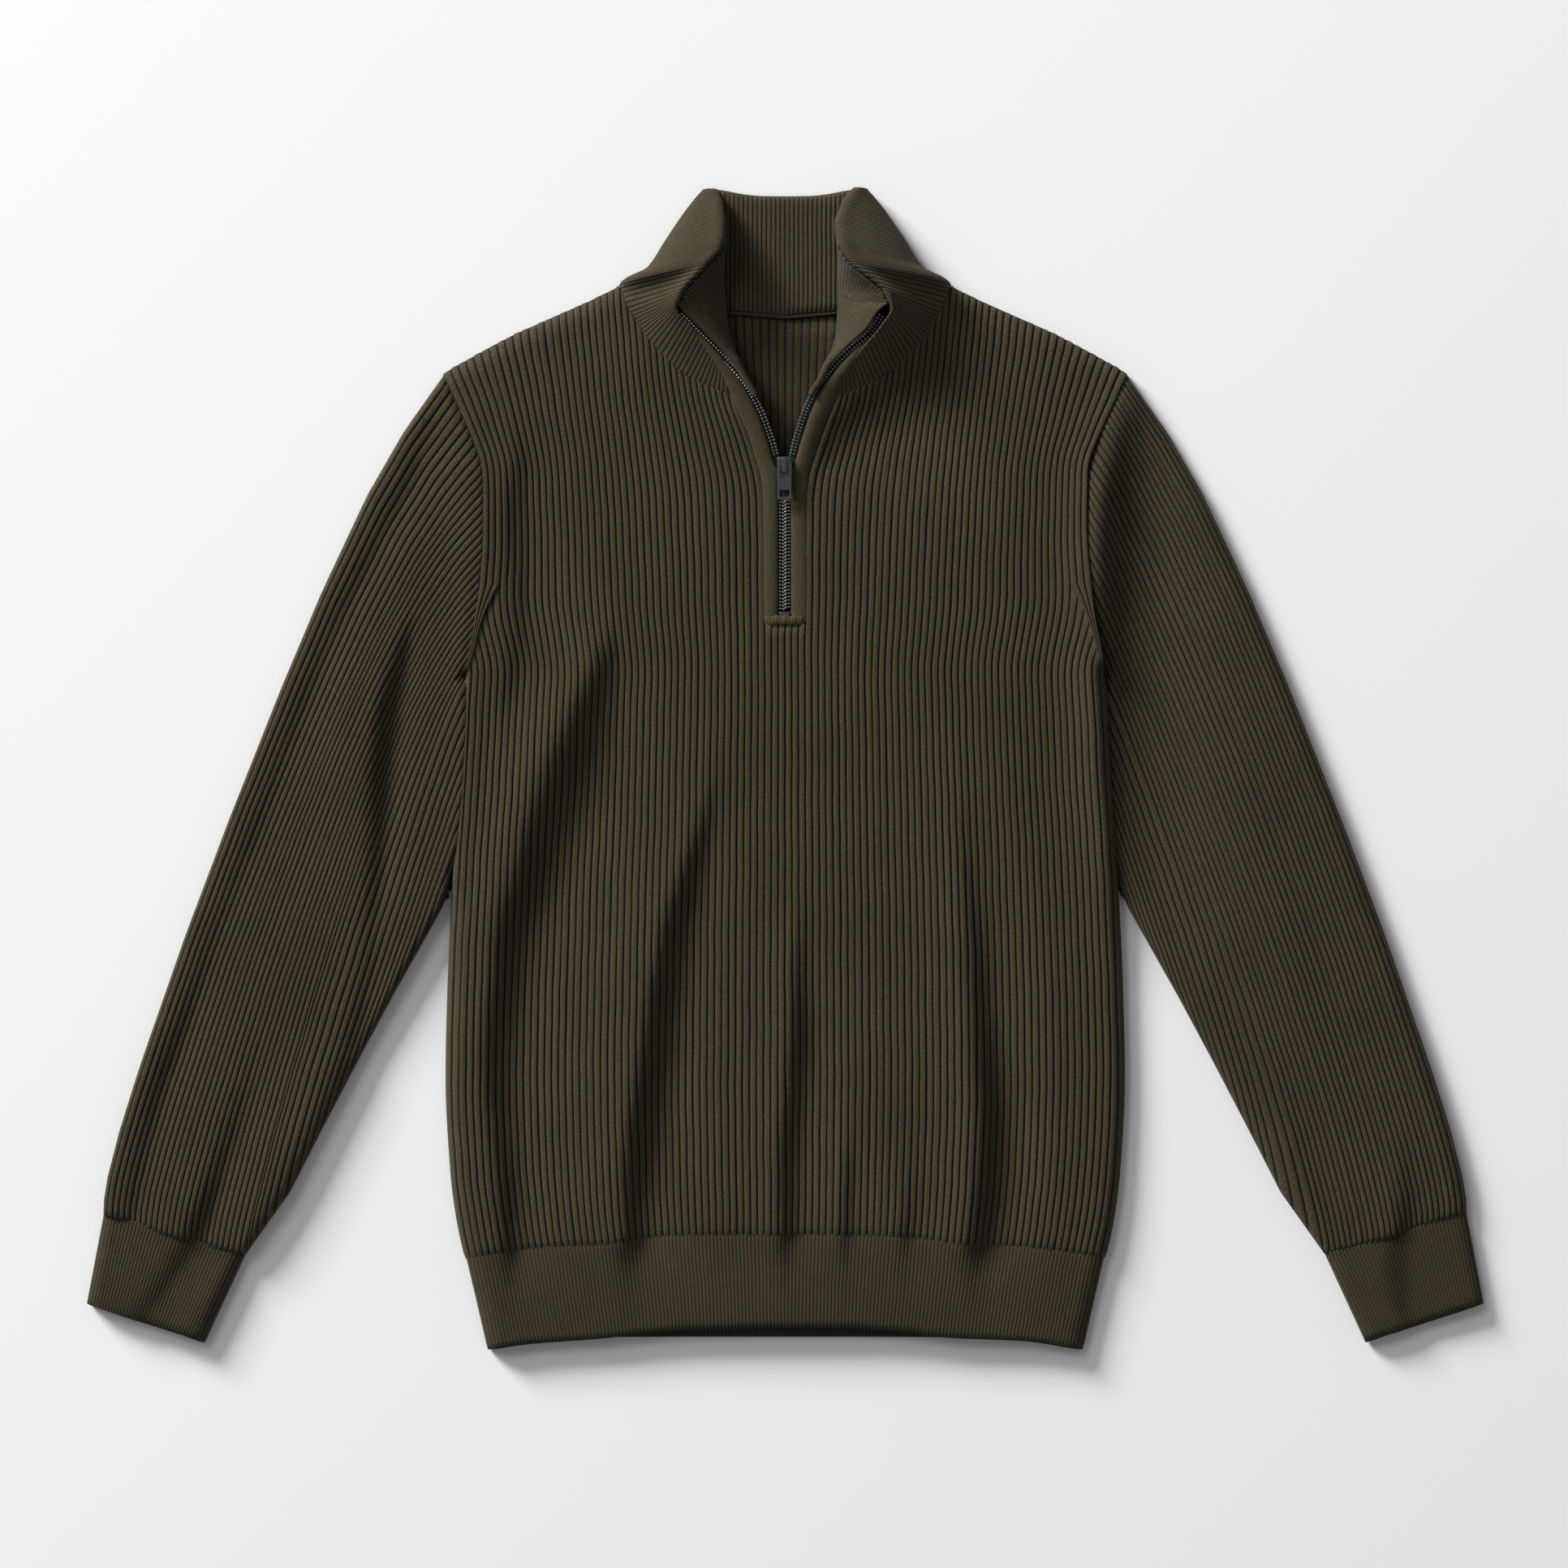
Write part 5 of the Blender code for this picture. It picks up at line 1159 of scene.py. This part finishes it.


# Its grooves are darkened with painted shade to a share of the middle tone.
plain_knit = knit_finish(
    "plain_knit", dark=(0.044, 0.036, 0.018), middle=(0.060, 0.050, 0.028),
    light=(0.078, 0.066, 0.040), pitch=COURSE, painted_groove_shade=0.5, depth=0.5, streaks=0.3,
)
OPENING = table(
    "y left right",
    (160, 3.9, 3.9), (188, 3.9, 4.0), (215, 3.8, 4.8), (232, 3.6, 5.2), (244, 3.2, 5.2),
    (262, 2.0, 4.8), (276, 1.0, 4.4), (286, 0.6, 4.0),
)
BAND_DROP = ((130, 165, 190, 215, 237, 252), (0, 1.5, 4.0, 5.0, 3.0, 0))
y = np.arange(94.0, 286.0, COURSE / 3)
for side, name in HANDS.items():
    near = zip_x(side, y) + side * smooth(OPENING["y"], OPENING[name], y)
    far = band_edge_x(side, y) + side * 1.6
    far = np.where(side * (far - near) < 0.6, near + side * 0.6, far)
    turn = np.radians(np.linspace(-90, 90, 13))[:, None]
    t = (np.sin(turn) + 1) / 2
    dome = np.cos(turn) ** 0.8 * np.clip(np.abs(far - near) / 7, 0.15, 1)
    courses = np.abs(np.sin(np.pi * y / COURSE)) ** 0.7
    z = zip_z(y) - 0.9 + (2.4 + 0.16 * courses) * dome
    z = z - (side > 0) * np.interp(y, *BAND_DROP) * t**2
    grids = [(with_height(near + (far - near) * t, y + 0 * t, z), y / COURSE, t * 6.0, 1)]
    band = make_cloth(name + "_band", grids, plain_knit, thick=1.5)
    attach(band, "garment")
    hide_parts("placket_" + name)

x = np.arange(-12.6, 12.61, 0.3)
turn = np.linspace(0, np.pi, 13)[:, None]
pucker = 0.22 * np.sin(x * 3.1) * np.sin(turn) + 0.3 * np.sin(x * 1.1 + 1)
tab_x = ZIP_CENTRE_X + x * (1 - 0.05 * np.cos(turn))
tab_z = 12.4 + 2.6 * np.sin(turn) ** 0.7 * (1 - (x / 13.2) ** 6) + pucker * 0.5
tab = with_height(tab_x, 94.6 - 3.2 * np.cos(turn) + pucker, tab_z)
end_tab = make_cloth("placket_end_tab", [(tab, x / 1.3, turn * 2, 1)], plain_knit, thick=1.0)
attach(end_tab, "garment")
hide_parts("placket_end")

# ---------------------------------------------------------------- zip tapes and teeth
# Black twill tapes sewn in behind the bands, with moulded metal teeth clamped along their edges,
# meshed below the slider and parted above it.
TOOTH_PITCH = 2.2

tape_cloth = paint("zip_tape", (0.006, 0.006, 0.007), 0.75)
teeth_metal = paint("zip_teeth", (0.42, 0.42, 0.41), 0.36, 1.0)

y = np.arange(96, 290.6, 1.5)
for side, name in HANDS.items():
    near = zip_x(side, y) - side * np.interp(y, [200, 244], [0.6, 1.8 if side < 0 else 0.9])
    far = near + side * np.interp(y, [200, 250, 280, 291], [9.0, 9.5, 8.0, 5.5])
    t = np.linspace(0, 1, 7)[:, None]
    tape_points = with_height(near + (far - near) * t, y + 0 * t, zip_z(y) - 2.4 + 0.5 * (1 - t))
    tape = make_cloth(name + "_tape", [(tape_points, t * 6, y, 1)], tape_cloth, thick=0.7)
    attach(tape, "garment")
    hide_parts("zip_tape_" + name)


def add_tooth(bm, place, along, across, size):
    """One tooth: a small bevelled block, longest across the tape."""
    before = set(bm.verts)
    made = bmesh.ops.create_cube(bm, size=1.0)
    edges = list({edge for vert in made["verts"] for edge in vert.link_edges})
    bmesh.ops.bevel(
        bm, geom=edges, offset=0.22, segments=1, profile=0.5, affect="EDGES", material=-1
    )
    up = np.cross(across, along)
    up = up / np.linalg.norm(up) * np.sign(up[2])
    for vert in [v for v in bm.verts if v not in before]:
        local = np.array(vert.co) * size
        vert.co = (place + across * local[0] + along * local[1] + up * local[2]) * MM


def tooth_places(path, offset=0.0):
    """Places one pitch apart along a path, with its direction at each."""
    length = path_lengths(path)
    at = np.arange(TOOTH_PITCH / 2 + offset, length[-1], TOOTH_PITCH)
    places, ahead, behind = (
        np.stack([np.interp(at + step, length, column) for column in path.T], axis=-1)
        for step in (0, 1, -1)
    )
    along = (ahead - behind) / np.linalg.norm(ahead - behind, axis=1, keepdims=True)
    return places, along


def teeth_object(name, bm):
    thing = mesh_object(name, bm, teeth_metal)
    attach(thing, "garment")
    return thing


for side, name in HANDS.items():
    bm = bmesh.new()
    y = np.linspace(200.5, 290.0, 120)
    path = with_height(zip_x(side, y) + side * 0.2, y, zip_z(y) - 0.6)
    for place, along in zip(*tooth_places(path)):
        across = np.array([along[1], -along[0], 0.0]) * side
        across /= np.linalg.norm(across)
        add_tooth(bm, place - across * 0.5, along, across, np.array([1.5, 1.25, 2.0]))
        add_tooth(bm, place + across * 1.9, along, across, np.array([1.2, 1.0, 1.2]))
    teeth_object(name + "_teeth", bm)

bm = bmesh.new()
straight = np.array([[ZIP_CENTRE_X, 100.8, 12.2], [ZIP_CENTRE_X, 171.5, 12.2]])
for side, offset in ((-1, 0.0), (1, TOOTH_PITCH / 2)):
    for place, along in zip(*tooth_places(straight, offset)):
        across = np.array([float(side), 0.0, 0.0])
        slanted = np.array([side * 0.94, 0.34, 0.0])
        add_tooth(bm, place + across * 0.9, along, slanted, np.array([2.0, 1.45, 2.4]))
        add_tooth(bm, place + across * 2.9 + along * 0.3, along, across, np.array([1.3, 1.2, 2.0]))
chain = teeth_object("meshed_teeth", bm)
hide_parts("zip_chain")

# ---------------------------------------------------------------- zip slider, stop and pull
# Cast gunmetal slider with a loop for its flat pull tab, and a pressed stop at the foot.
gunmetal = paint("gunmetal", (0.15, 0.155, 0.165), 0.30, 1.0)
tree = gunmetal.node_tree
rounded = add_node(tree, "ShaderNodeBevel", 0.0007, samples=6)
tree.links.new(rounded, tree.nodes["Principled BSDF"].inputs["Normal"])
for name in ("zip_slider", "zip_stop", "zip_pull"):
    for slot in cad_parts[name].material_slots:
        slot.material = gunmetal
